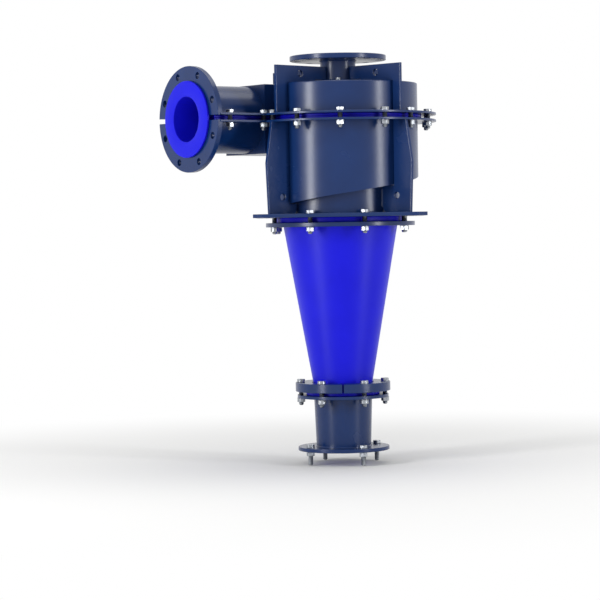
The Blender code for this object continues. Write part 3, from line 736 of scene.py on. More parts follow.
@dataclass
class SpiralHead:
    """Steel head and its moulded liner, which share one spiral.

    The steel halves meet at a bolted joint, and the liner halves' lips fill the joint's gap.
    """

    nominal_bore: float = 0.350
    casing_wall: float = 0.008
    liner_wall: float = 0.015
    support_top: float = 0.012
    inlet_bearing: float = 217.2
    start_radius: float = 0.284
    end_radius: float = 0.213
    split_height: float = 0.322
    ramp_fall: float = 0.2255
    ramp_lowest: float = 0.024
    seam_deg: float = 1.0
    pipe_radius: float = 0.1095
    channel_margin: float = 0.003
    box_reach: float = 0.255
    inlet_reach: float = 0.4785
    flange_radius: float = 0.1715
    flange_thickness: float = 0.018
    flange_hole_circle: float = 0.149
    flange_hole_radius: float = 0.011
    flange_holes: int = 8
    inlet_bore: float = 0.073
    inlet_face_radius: float = 0.124
    inlet_face_thickness: float = 0.009
    joint_width: float = 0.061
    joint_plate: float = 0.007
    joint_bolt_offset: float = 0.038
    lip_thickness: float = 0.0075
    lip_reach: float = 0.012
    roof_hole_radius: float = 0.064
    finder_radius: float = 0.072
    bolt_hole_radius: float = 0.009
    plate_edge: float = 0.0012
    roof_edge: float = 0.003
    mould_edge: float = 0.003
    tongue_guess_deg: float = 290.0
    tongue_tries: int = 8
    joint_bearings: tuple[float, ...] = (-52, -29, 1, 31, 53, 80, 105, 126, 152, 176, 200)
    far_box_bolt_share: float = 0.52
    near_drum_bolt_share: float = 1.01
    near_pipe_bolt_share: float = 0.73
    far_pipe_bolt_shares: tuple[float, ...] = (0.05, 0.73)

    @property
    def channel_half(self) -> float:
        """Half the height and width of the square inlet channel."""
        return self.pipe_radius + self.channel_margin

    @property
    def roof_top(self) -> float:
        """Top face of the steel roof."""
        return self.split_height + self.channel_half

    @property
    def channel_floor(self) -> float:
        """Underside of the inlet channel."""
        return self.split_height - self.channel_half

    @property
    def pipe_offset(self) -> float:
        """How far the inlet pipe's axis passes from the cyclone's axis."""
        return self.start_radius - self.channel_half

    @property
    def inlet_along(self) -> Vector:
        """Direction of the inlet pipe, from the head to the flange."""
        angle = math.radians(self.inlet_bearing)
        return Vector((math.cos(angle), math.sin(angle), 0))

    @property
    def throat_radius(self) -> float:
        """Outer radius of the steel throat."""
        return self.nominal_bore / 2 + self.liner_wall + SEAT_GAP + self.casing_wall

    @property
    def joint_gap(self) -> float:
        """Height from the split to each joint plate."""
        return self.lip_thickness + SEAT_GAP

    @property
    def joint_top(self) -> float:
        """Top face of the upper joint plate, where the bolt heads seat."""
        return self.split_height + self.joint_gap + self.joint_plate

    @property
    def joint_bottom(self) -> float:
        """Underside of the lower joint plate, where the nuts seat."""
        return self.split_height - self.joint_gap - self.joint_plate

    def radius(self, bearing: float) -> float:
        """Outer radius of the spiral at a bearing, counted down from the inlet's."""
        share = (self.inlet_bearing - bearing) / 360.0
        return self.start_radius + (self.end_radius - self.start_radius) * share

    def ramp(self, bearing: float) -> float:
        """Underside of the spiral floor at a bearing."""
        share = (self.inlet_bearing - bearing) / 360.0
        return max(self.channel_floor - self.ramp_fall * share, self.ramp_lowest)

    def inlet_point(self, reach: float, side: float, height: float = 0.0) -> Vector:
        """Point given along the inlet pipe's direction and across it.

        Args:
            reach: Distance from the axis along the pipe.
            side: Distance from the axis across the pipe.
            height: Height above the seat.

        Returns:
            The point.
        """
        along = self.inlet_along
        across = Vector((along.y, -along.x, 0))
        point = along * reach + across * side
        point.z = height
        return point

    def flat_inlet_point(self, reach: float, side: float) -> Flat:
        """Plan position given along the inlet pipe and across it."""
        point = self.inlet_point(reach, side)
        return (point.x, point.y)

    def pipe_place(self, reach: float) -> Matrix:
        """Where a section across the inlet pipe lies, with its depth towards the flange.

        Args:
            reach: Distance of the section from the axis along the pipe.

        Returns:
            A matrix whose first axis runs across the pipe and whose second runs up.
        """
        along = self.inlet_along
        up = Vector((0, 0, 1))
        side = up.cross(along)
        turn = Matrix((side, up, along)).transposed().to_4x4()
        centre = self.inlet_point(reach, self.pipe_offset, self.split_height)
        return Matrix.Translation(centre) @ turn

    def tongue_turn(self, offset: float) -> float:
        """Angle of the spiral's wall at which the channel's near wall cuts it.

        Args:
            offset: How far both walls are grown.

        Returns:
            The angle in degrees, counted from the inlet.
        """
        near = self.pipe_offset - self.channel_half - offset
        turn = self.tongue_guess_deg
        for _ in range(self.tongue_tries):
            radius = self.radius(self.inlet_bearing - turn) + offset
            turn = 360.0 - math.degrees(math.acos(near / radius))
        return turn

    def spiral_points(self, offset: float) -> Outline:
        """Plan points of the spiral wall from the inlet to the tongue, grown by offset.

        Args:
            offset: How far the wall is grown, less than zero where it is shrunk.

        Returns:
            The points in order.
        """
        turn = self.tongue_turn(offset)
        points = []
        for i in range(math.ceil(turn / SWEEP_STEP_DEG) + 1):
            bearing = self.inlet_bearing - min(i * SWEEP_STEP_DEG, turn)
            point = around(bearing, self.radius(bearing) + offset)
            points.append((point.x, point.y))
        return points

    def outline(self, offset: float, reach: float) -> Outline:
        """Plan outline of the spiral and its channel.

        Args:
            offset: How far it is grown.
            reach: Where the channel ends.

        Returns:
            The closed outline.
        """
        far = self.flat_inlet_point(reach, self.pipe_offset + self.channel_half + offset)
        near = self.flat_inlet_point(reach, self.pipe_offset - self.channel_half - offset)
        return [far, *self.spiral_points(offset), near]

    def flange_outline(self, grow: float, inset: float, bore: float, reach: float) -> Outline:
        """Plan outline of a joint plate or lip, open along the chamber and the pipe.

        Args:
            grow: How far its outer edge lies outside the spiral.
            inset: How far its inner edge lies inside the spiral.
            bore: Half the width of the pipe's opening.
            reach: Where it ends along the pipe.

        Returns:
            The closed outline, shaped like a hook.
        """
        box = self.box_reach - inset
        outer = self.outline(grow, reach)
        far = self.pipe_offset + self.channel_half - inset
        near = self.pipe_offset - self.channel_half + inset
        inner = [
            self.flat_inlet_point(reach, self.pipe_offset + bore),
            self.flat_inlet_point(box, self.pipe_offset + bore),
            self.flat_inlet_point(box, far),
            *self.spiral_points(-inset),
            self.flat_inlet_point(box, near),
            self.flat_inlet_point(box, self.pipe_offset - bore),
            self.flat_inlet_point(reach, self.pipe_offset - bore),
        ]
        return outer + list(reversed(inner))

    def bolt_places(self) -> list[Vector]:
        """Plan positions of the bolts round the split joint.

        Returns:
            The positions, those round the drum first.
        """
        offset = self.joint_bolt_offset
        places = [around(b, self.radius(b) + offset) for b in self.joint_bearings]
        near = self.pipe_offset - self.channel_half - offset
        far = self.pipe_offset + self.channel_half + offset
        box, pipe = self.box_reach, self.inlet_reach - self.box_reach
        places.append(self.inlet_point(self.start_radius * self.near_drum_bolt_share, near))
        places.append(self.inlet_point(box + pipe * self.near_pipe_bolt_share, near))
        places.append(self.inlet_point(box * self.far_box_bolt_share, far))
        places += [self.inlet_point(box + pipe * s, far) for s in self.far_pipe_bolt_shares]
        return places

    def spiral_turn(self, name: str, inset: float, top: float) -> bpy.types.Object:
        """Solid turn of the spiral over its ramp, shrunk by inset.

        Args:
            name: The solid's name.
            inset: How far it lies inside the steel's outside.
            top: Height of its top.

        Returns:
            The solid as a mesh object.
        """
        sweep = 360.0 - self.seam_deg - math.degrees(inset / self.throat_radius)
        core = self.throat_radius / 2
        bm = bmesh.new()
        rows = []
        for i in range(math.ceil(sweep / SWEEP_STEP_DEG) + 1):
            bearing = self.inlet_bearing - min(i * SWEEP_STEP_DEG, sweep)
            radius = self.radius(bearing) - inset
            floor = self.ramp(bearing) + inset
            section = ((core, floor), (radius, floor), (radius, top), (core, top))
            rows.append([bm.verts.new(around(bearing, r, z)) for r, z in section])
        for row, following in zip(rows, rows[1:]):
            for k in range(len(row)):
                n = (k + 1) % len(row)
                bm.faces.new((row[k], row[n], following[n], following[k]))
        bm.faces.new(rows[0])
        bm.faces.new(rows[-1])
        return mesh_object(name, bm)

    def lower_chamber(
        self, name: str, inset: float, bottom: float, top: float,
    ) -> bpy.types.Object:
        """Everything the lower half encloses, shrunk by inset.

        Args:
            name: The solid's name.
            inset: How far it lies inside the steel's outside.
            bottom: Underside of the throat.
            top: Height at which the spiral ends; the others end a step above one another.

        Returns:
            The spiral, the channel and the throat as one solid.
        """
        body = self.spiral_turn(name, inset, top)
        back = -self.throat_radius / 4
        far = self.pipe_offset + self.channel_half - inset
        near = self.pipe_offset - self.channel_half + inset
        end = self.box_reach - inset
        corners = ((0.0, far), (end, far), (end, near), (back, near), (back, far / 2))
        plan = [self.flat_inlet_point(t, s) for t, s in corners]
        lid = top + TOP_STEP
        channel = prism("channel", plan, self.channel_floor + inset, lid)
        lid += TOP_STEP
        throat = rod("throat", self.throat_radius - inset, Vector((0, 0, bottom)),
                     Vector((0, 0, lid)))
        combine(body, [channel, throat], Join.WELD)
        return body

    def tube_half(self, name: str, up: bool) -> bpy.types.Object:
        """Half of the inlet pipe, from its box to the flange.

        Args:
            name: The piece's name.
            up: Whether it is the upper half.

        Returns:
            The half tube.
        """
        turn = 0.0 if up else 180.0
        inner = self.pipe_radius - self.casing_wall
        first = math.degrees(math.asin(self.joint_gap / self.pipe_radius))
        inside = math.degrees(math.asin(self.joint_gap / inner))
        section = arc(self.pipe_radius, turn + first, turn + 180.0 - first)
        section += arc(inner, turn + 180.0 - inside, turn + inside)
        start = self.box_reach - self.casing_wall / 2
        length = self.inlet_reach - self.flange_thickness / 2 - start
        return plate(name, section, 0, length, self.plate_edge / 2, place=self.pipe_place(start))

    def flange_half(self, name: str, up: bool) -> bpy.types.Object:
        """Half of the inlet flange, with its bolt holes straddling the split.

        Args:
            name: The piece's name.
            up: Whether it is the upper half.

        Returns:
            The half flange.
        """
        turn = 0.0 if up else 180.0
        bore = self.pipe_radius - self.casing_wall
        first = math.degrees(math.asin(self.joint_gap / self.flange_radius))
        inside = math.degrees(math.asin(self.joint_gap / bore))
        section = arc(self.flange_radius, turn + first, turn + 180.0 - first)
        section += arc(bore, turn + 180.0 - inside, turn + inside)
        spacing = 360.0 / self.flange_holes
        holes = []
        for i in range(self.flange_holes // 2):
            angle = math.radians(turn + spacing * (i + 0.5))
            centre = (self.flange_hole_circle * math.cos(angle),
                      self.flange_hole_circle * math.sin(angle))
            holes.append(circle(self.flange_hole_radius, centre))
        place = self.pipe_place(self.inlet_reach - self.flange_thickness)
        return plate(name, section, 0, self.flange_thickness, self.plate_edge, holes, place)

    def joint(self, name: str, low: float, high: float) -> bpy.types.Object:
        """One plate of the split joint, with its bolt holes.

        Args:
            name: The piece's name.
            low: Height of its underside.
            high: Height of its top.

        Returns:
            The plate.
        """
        reach = self.inlet_reach - self.flange_thickness / 2
        bore = self.pipe_radius - self.casing_wall
        plan = self.flange_outline(self.joint_width, self.casing_wall, bore, reach)
        holes = holes_at(self.bolt_places(), self.bolt_hole_radius)
        return plate(name, plan, low, high, self.plate_edge, holes)

    def pipe_bore(self) -> bpy.types.Object:
        """Solid that opens the steel box into the inlet pipe.

        Returns:
            The solid.
        """
        wall = self.casing_wall
        start = self.inlet_point(self.box_reach - 2 * wall, self.pipe_offset, self.split_height)
        end = self.inlet_point(self.box_reach + wall, self.pipe_offset, self.split_height)
        return rod("bore", self.pipe_radius - wall, start, end)

    def mouth(self) -> bpy.types.Object:
        """Solid that opens the liner into the inlet sleeve.

        Returns:
            The solid.
        """
        start = self.inlet_point(self.box_reach / 2, self.pipe_offset, self.split_height)
        end = self.inlet_point(self.inlet_reach, self.pipe_offset, self.split_height)
        return rod("mouth", self.inlet_bore, start, end)

    def build_lower_casing(self) -> bpy.types.Object:
        """Lower steel half, with the spiral floor and the throat.

        Returns:
            The half.
        """
        foot = self.support_top + SEAT_GAP
        top = self.joint_bottom + self.joint_plate / 2
        shell = self.lower_chamber("shell", 0.0, foot, top)
        hollow = self.lower_chamber("hollow", self.casing_wall, foot - CUT_OVERRUN,
                                    top + CUT_OVERRUN)
        over = prism("over", circle(2 * self.flange_radius + self.start_radius), top,
                     top + 2 * CUT_OVERRUN)
        combine(shell, [over, hollow], Join.CUT)
        combine(shell, [self.pipe_bore()], Join.CUT)
        plate_high = self.joint_bottom + self.joint_plate
        parts = [
            shell, self.joint("joint", self.joint_bottom, plate_high),
            self.tube_half("tube", False), self.flange_half("flange", False),
        ]
        return gather("lower_head_casing", parts)

    def build_upper_casing(self) -> bpy.types.Object:
        """Upper steel half, a wall under a flat roof.

        Returns:
            The half.
        """
        low = self.joint_top - self.joint_plate
        roof = self.roof_top - self.casing_wall
        inner = self.outline(-self.casing_wall, self.box_reach - self.casing_wall)
        outer = self.outline(0.0, self.box_reach)
        wall = plate("wall", outer, low, self.roof_top - self.casing_wall / 2, self.plate_edge,
                     [inner])
        combine(wall, [self.pipe_bore()], Join.CUT)
        lid = plate("lid", outer, roof, self.roof_top, self.roof_edge,
                    [circle(self.roof_hole_radius, sides=ROUND_SIDES)])
        parts = [
            wall, lid, self.joint("joint", low, self.joint_top),
            self.tube_half("tube", True), self.flange_half("flange", True),
        ]
        return gather("upper_head_casing", parts)

    def lip(self, name: str, low: float, high: float) -> bpy.types.Object:
        """Lip of a liner half, gripped between the joint plates.

        Args:
            name: The piece's name.
            low: Height of its underside.
            high: Height of its top.

        Returns:
            The lip.
        """
        reach = self.inlet_reach - self.flange_thickness - SEAT_GAP
        bore = self.pipe_radius - self.casing_wall
        inset = self.casing_wall + SEAT_GAP + self.liner_wall
        plan = self.flange_outline(self.lip_reach, inset, bore, reach)
        return plate(name, plan, low, high, self.plate_edge)

    def build_lower_liner(self) -> bpy.types.Object:
        """Lower liner half, moulded to the spiral, the floor and the throat.

        Returns:
            The half.
        """
        inset = self.casing_wall + SEAT_GAP
        deep = inset + self.liner_wall
        top = self.split_height - SEAT_GAP / 2
        shell = self.lower_chamber("shell", inset, 0.0, top)
        over = prism("over", circle(2 * self.flange_radius + self.start_radius), top,
                     top + CUT_OVERRUN)
        hollow = self.lower_chamber("hollow", deep, -CUT_OVERRUN, top + CUT_OVERRUN)
        combine(shell, [over, hollow, self.mouth()], Join.CUT)
        lip = self.lip("lip", self.split_height - self.lip_thickness, top)
        return gather("lower_head_liner", [shell, lip])

    def build_upper_liner(self) -> bpy.types.Object:
        """Upper liner half, moulded to the wall and the roof.

        Returns:
            The half.
        """
        inset = self.casing_wall + SEAT_GAP
        deep = inset + self.liner_wall
        low = self.split_height + SEAT_GAP / 2
        top = self.roof_top - inset
        outer = self.outline(-inset, self.box_reach - inset)
        inner = self.outline(-deep, self.box_reach - deep)
        wall = plate("wall", outer, low, top - self.liner_wall / 2, self.plate_edge, [inner])
        combine(wall, [self.mouth()], Join.CUT)
        hole = circle(self.finder_radius + SEAT_GAP, sides=ROUND_SIDES)
        roof = plate("roof", outer, top - self.liner_wall, top, self.plate_edge, [hole])
        lip = self.lip("lip", low, self.split_height + self.lip_thickness)
        return gather("upper_head_liner", [wall, roof, lip])

    def build_inlet_sleeve(self) -> bpy.types.Object:
        """Moulded sleeve in the pipe, whose face stands proud of the flange.

        Returns:
            The sleeve.
        """
        outer = self.pipe_radius - self.casing_wall - SEAT_GAP
        start = self.box_reach - self.casing_wall + SEAT_GAP
        seat = self.inlet_reach + SEAT_GAP - start
        face = seat + self.inlet_face_thickness
        profile = [
            (self.inlet_bore, 0.0), (outer, 0.0), (outer, seat), (self.inlet_face_radius, seat),
            (self.inlet_face_radius, face), (self.inlet_bore, face),
        ]
        return turned("inlet_sleeve", softened(profile, self.mould_edge), self.pipe_place(start))

    def dress(self, shop: Workshop) -> None:
        """Build the head's pieces and stand them in for the frame's.

        Args:
            shop: Workshop that finishes them.
        """
        shop.hand_over(self.build_lower_casing(), Slot.PAINT, "lower_casing")
        shop.hand_over(self.build_upper_casing(), Slot.PAINT, "upper_casing")
        shop.hand_over(self.build_lower_liner(), Slot.URETHANE, "lower_liner")
        shop.hand_over(self.build_upper_liner(), Slot.URETHANE, "upper_liner")
        shop.hand_over(self.build_inlet_sleeve(), Slot.URETHANE, "inlet_liner")


@dataclass
class Overflow:
    """Overflow pipe on the roof and the vortex finder that lines it."""

    head: SpiralHead
    pipe_radius: float = 0.058
    flange_radius: float = 0.158
    flange_thickness: float = 0.016
    height: float = 0.528
    hole_circle: float = 0.132
    holes: int = 8
    hole_radius: float = 0.010
    foot_radius: float = 0.108
    foot_thickness: float = 0.010
    foot_bolt_circle: float = 0.088
    foot_bolts: int = 4
    foot_hole_radius: float = 0.006
    finder_bore: float = 0.040
    finder_bottom: float = 0.150
    mouth_flare: float = 0.006
    edge: float = 0.002

    @property
    def foot_low(self) -> float:
        """Underside of the foot."""
        return self.head.roof_top + SEAT_GAP

    @property
    def foot_high(self) -> float:
        """Top face of the foot."""
        return self.foot_low + self.foot_thickness

    def build_pipe(self) -> bpy.types.Object:
        """Foot plate, tube and flange of the overflow.

        Returns:
            The pipe.
        """
        bore = self.pipe_radius - self.head.casing_wall
        under = self.height - self.flange_thickness
        opening = circle(bore, sides=ROUND_SIDES)
        foot_holes = holes_at(places_around(self.foot_bolts, self.foot_bolt_circle),
                              self.foot_hole_radius)
        foot = plate("foot", circle(self.foot_radius, sides=ROUND_SIDES), self.foot_low,
                     self.foot_high, self.edge, [opening, *foot_holes])
        tube = turned("tube", [
            (bore, self.foot_low + self.edge), (self.pipe_radius, self.foot_low + self.edge),
            (self.pipe_radius, self.height - self.edge), (bore, self.height - self.edge),
        ])
        rim_holes = holes_at(places_around(self.holes, self.hole_circle), self.hole_radius)
        flange = plate("flange", circle(self.flange_radius, sides=ROUND_SIDES), under,
                       self.height, self.edge, [opening, *rim_holes])
        return gather("overflow_neck", [foot, tube, flange])

    def build_finder(self) -> bpy.types.Object:
        """Vortex finder, one moulded tube with a shoulder under the roof.

        Returns:
            The tube.
        """
        neck = self.pipe_radius - self.head.casing_wall - SEAT_GAP
        seat = self.head.roof_top - self.head.casing_wall - SEAT_GAP
        outer = self.head.finder_radius
        profile = [
            (self.finder_bore + self.mouth_flare, self.finder_bottom),
            (outer, self.finder_bottom), (outer, seat), (neck, seat), (neck, self.height),
            (self.finder_bore, self.height),
            (self.finder_bore, self.finder_bottom + self.mouth_flare),
        ]
        return turned("moulded_vortex_finder", softened(profile, self.edge))

    def dress(self, shop: Workshop) -> None:
        """Build the overflow's pieces and stand them in for the frame's.

        Args:
            shop: Workshop that finishes them.
        """
        shop.hand_over(self.build_pipe(), Slot.PAINT, "overflow_pipe")
        shop.hand_over(self.build_finder(), Slot.URETHANE, "vortex_finder")


@dataclass
class ConeSection:
    """Moulded cone with the steel rings that clamp its two lips."""

    head: SpiralHead
    lip_radius: float = 0.211
    lip_thickness: float = 0.016
    top_radius: float = 0.187
    bottom_radius: float = 0.098
    bottom_bore: float = 0.080
    length: float = 0.582
    foot_radius: float = 0.121
    foot_thickness: float = 0.011
    fillet: float = 0.004
    ring_radius: float = 0.245
    ring_thickness: float = 0.014
    ring_bolt_circle: float = 0.228
    ring_bolts: int = 8
    ring_bolt_first_deg: float = 20.0
    clamp_radius: float = 0.156
    clamp_thickness: float = 0.029
    clamp_split: float = 0.006
    clamp_bolt_circle: float = 0.138
    clamp_bolts: int = 6
    clamp_bolt_first_deg: float = 30.0
    edge: float = 0.0015

    @property
    def ring_top(self) -> float:
        """Top face of the upper ring."""
        return -self.lip_thickness - 2 * SEAT_GAP

    @property
    def ring_bottom(self) -> float:
        """Underside of the upper ring."""
        return self.ring_top - self.ring_thickness

    @property
    def bottom(self) -> float:
        """Underside of the cone."""
        return -SEAT_GAP - self.length

    @property
    def clamp_low(self) -> float:
        """Underside of the split ring."""
        return self.bottom + self.foot_thickness + SEAT_GAP

    @property
    def clamp_high(self) -> float:
        """Top face of the split ring."""
        return self.clamp_low + self.clamp_thickness

    def ring_places(self) -> list[Vector]:
        """Places of the bolts through the upper ring and the support plate."""
        return places_around(self.ring_bolts, self.ring_bolt_circle, self.ring_bolt_first_deg)

    def clamp_places(self) -> list[Vector]:
        """Places of the bolts through the split ring and the spigot's upper flange."""
        return places_around(self.clamp_bolts, self.clamp_bolt_circle, self.clamp_bolt_first_deg)

    def build_cone(self) -> bpy.types.Object:
        """The moulded cone.

        Returns:
            The cone.
        """
        top = -SEAT_GAP
        lip = top - self.lip_thickness
        foot = self.bottom + self.foot_thickness
        profile = [
            (self.head.nominal_bore / 2, top), (self.bottom_bore, self.bottom),
            (self.foot_radius, self.bottom), (self.foot_radius, foot),
            (self.bottom_radius + self.fillet, foot), (self.bottom_radius, foot + self.fillet),
            (self.bottom_radius, self.clamp_high), (self.top_radius, self.ring_bottom),
            (self.top_radius, lip - self.fillet), (self.top_radius + self.fillet, lip),
            (self.lip_radius, lip), (self.lip_radius, top),
        ]
        return turned("moulded_cone", softened(profile, self.edge))

    def build_ring(self) -> bpy.types.Object:
        """Steel ring under the cone's upper lip.

        Returns:
            The ring.
        """
        holes = [circle(self.top_radius + self.fillet + SEAT_GAP, sides=ROUND_SIDES)]
        holes += holes_at(self.ring_places(), self.head.bolt_hole_radius)
        return plate("lip_ring", circle(self.ring_radius, sides=ROUND_SIDES), self.ring_bottom,
                     self.ring_top, self.edge, holes)

    def build_clamp_half(self, sign: float) -> bpy.types.Object:
        """Half of the split ring that grips the cone's lower lip.

        Args:
            sign: Side that it lies on, 1 for +X and -1 for -X.

        Returns:
            The half ring.
        """
        bore = self.bottom_radius + self.fillet + SEAT_GAP
        gap = self.clamp_split / 2
        outer = math.degrees(math.asin(gap / self.clamp_radius))
        inner = math.degrees(math.asin(gap / bore))
        plan = arc(self.clamp_radius, -90.0 + outer, 90.0 - outer)
        plan += arc(bore, 90.0 - inner, -90.0 + inner)
        plan = [(x * sign, y) for x, y in plan]
        places = [place for place in self.clamp_places() if place.x * sign > 0]
        holes = holes_at(places, self.head.bolt_hole_radius)
        name = "split_ring_right" if sign > 0 else "split_ring_left"
        return plate(name, plan, self.clamp_low, self.clamp_high, self.edge, holes)

    def dress(self, shop: Workshop) -> None:
        """Build the cone and its rings and stand them in for the frame's.

        Args:
            shop: Workshop that finishes them.
        """
        shop.hand_over(self.build_cone(), Slot.URETHANE, "cone")
        shop.hand_over(self.build_ring(), Slot.PAINT, "cone_ring")
        shop.hand_over(self.build_clamp_half(-1.0), Slot.PAINT, "clamp_ring_left")
        shop.hand_over(self.build_clamp_half(1.0), Slot.PAINT, "clamp_ring_right")


@dataclass
class Support:
    """Square plate with the gussets that tie it to the head."""

    head: SpiralHead
    overflow: Overflow
    cone: ConeSection
    side: float = 0.556
    thickness: float = 0.012
    chamfer: float = 0.030
    hole_radius: float = 0.011
    hole_inset: float = 0.045
    rib_thickness: float = 0.010
    rib_foot: float = 0.322
    rib_shoulder: float = 0.330
    rib_shoulder_height: float = 0.175
    rib_neck: float = 0.306
    rib_notch: float = 0.012
    eye_bearing_radius: float = 0.263
    eye_height: float = 0.066
    eye_radius: float = 0.011
    upper_outer: float = 0.284
    upper_top: float = 0.490
    upper_margin: float = 0.018
    upper_eye_radius: float = 0.176
    upper_eye_drop: float = 0.026
    foot_gap: float = 0.003
    edge: float = 0.0012

    def build_plate(self) -> bpy.types.Object:
        """Support plate with its bore, corner holes and ring of bolt holes.

        Returns:
            The plate.
        """
        half = self.side / 2
        inner = half - self.chamfer
        outline: Outline = []
        for turn in range(4):
            spin = Matrix.Rotation(math.radians(QUARTER_DEG * turn), 2)
            outline += [tuple(spin @ Vector(p)) for p in ((half, -inner), (half, inner))]
        bore = self.head.throat_radius - self.head.casing_wall - SEAT_GAP
        hole = half - self.hole_inset
        holes = [circle(bore, sides=ROUND_SIDES)]
        holes += [circle(self.hole_radius, (x, y)) for x in (-hole, hole) for y in (-hole, hole)]
        holes += holes_at(self.cone.ring_places(), self.head.bolt_hole_radius)
        return plate("square_seat_plate", outline, 0.0, self.thickness, self.edge, holes)

    def rib_place(self, bearing: float) -> Matrix:
        """Where a rib's profile stands.

        Args:
            bearing: The rib's bearing.

        Returns:
            A matrix whose first axis runs outwards and whose second runs up.
        """
        out = around(bearing, 1.0)
        up = Vector((0, 0, 1))
        return Matrix((out, up, out.cross(up))).transposed().to_4x4()

    def wall_edge(self, bearing: float) -> tuple[float, float]:
        """Outermost radius and lowest floor of the spiral that a rib has to clear.

        Args:
            bearing: The rib's bearing.

        Returns:
            The radius and the height.
        """
        spread = math.degrees(self.rib_thickness / self.head.throat_radius)
        first = bearing
        while first > self.head.inlet_bearing:
            first -= 360.0
        last = first + 360.0 if first + 360.0 <= self.head.inlet_bearing else first
        bearings = (last - spread, last + spread)
        wall = max(self.head.radius(b) for b in bearings) + 2 * SEAT_GAP
        return wall, min(self.head.ramp(b) for b in bearings) - 2 * SEAT_GAP

    def under_channel(self, bearing: float) -> bool:
        """Whether the inlet channel passes over this bearing."""
        behind = (bearing - self.head.inlet_bearing) % 360.0
        return behind < 360.0 - self.head.tongue_turn(0.0)

    def channel_edge(self, bearing: float) -> float:
        """Radius at which a bearing leaves the inlet channel's far wall.

        Args:
            bearing: The rib's bearing.

        Returns:
            The radius, with room for the rib's thickness.
        """
        turn = math.radians(bearing - self.head.inlet_bearing)
        far = self.head.start_radius + self.rib_thickness * abs(math.sin(turn))
        return far / math.cos(turn)

    def build_lower_rib(self, corner: Corner) -> bpy.types.Object:
        """Gusset from the support plate up to the split joint.

        Args:
            corner: Corner of the plate that it stands at.

        Returns:
            The gusset.
        """
        bearing = corner.value
        foot = self.thickness + SEAT_GAP
        top = self.head.joint_bottom - SEAT_GAP
        wall, floor = self.wall_edge(bearing)
        inner = self.head.throat_radius + 2 * SEAT_GAP
        profile = [(inner + self.rib_notch, foot), (inner, foot + self.rib_notch)]
        if floor > foot + 2 * self.rib_notch:
            profile += [(inner, floor), (wall, floor)]
        else:
            profile = [(wall, foot)]
        if self.under_channel(bearing):
            under = self.head.channel_floor - SEAT_GAP
            clear = self.channel_edge(bearing) + SEAT_GAP
            profile += [(wall, under), (clear, under), (clear, top)]
        else:
            profile.append((wall, top))
        profile += [
            (self.rib_neck, top), (self.rib_shoulder, self.rib_shoulder_height),
            (self.rib_foot, foot),
        ]
        eye = circle(self.eye_radius, (self.eye_bearing_radius, self.eye_height))
        half = self.rib_thickness / 2
        return plate("lower_gusset_" + corner.word, profile, -half, half, self.edge, [eye],
                     self.rib_place(bearing))

    def build_upper_rib(self, corner: Corner) -> bpy.types.Object:
        """Gusset from the overflow pipe over the roof to the split joint, with a lifting eye.

        Args:
            corner: Corner that it points to.

        Returns:
            The gusset.
        """
        bearing = corner.value
        foot = self.head.joint_top + SEAT_GAP
        roof = self.head.roof_top + SEAT_GAP
        wall = self.wall_edge(bearing)[0]
        if self.under_channel(bearing):
            wall = self.channel_edge(bearing) + SEAT_GAP
        outer = max(self.upper_outer, wall + self.upper_margin)
        inner = self.overflow.foot_radius + SEAT_GAP
        over_foot = self.overflow.foot_high + self.foot_gap
        pipe = self.overflow.pipe_radius + SEAT_GAP
        profile = [
            (wall, foot), (wall, roof), (inner, roof), (inner, over_foot), (pipe, over_foot),
            (pipe, self.upper_top), (outer, self.upper_top), (outer, foot),
        ]
        eye = circle(self.eye_radius, (self.upper_eye_radius, self.upper_top - self.upper_eye_drop))
        half = self.rib_thickness / 2
        return plate("upper_gusset_" + corner.word, profile, -half, half, self.edge, [eye],
                     self.rib_place(bearing))

    def dress(self, shop: Workshop) -> None:
        """Build the plate and the gussets and stand them in for the frame's.

        Args:
            shop: Workshop that finishes them.
        """
        shop.hand_over(self.build_plate(), Slot.PAINT, "support_plate")
        for corner in Corner:
            shop.hand_over(self.build_lower_rib(corner), Slot.PAINT, "lower_rib_" + corner.word)
            shop.hand_over(self.build_upper_rib(corner), Slot.PAINT, "upper_rib_" + corner.word)


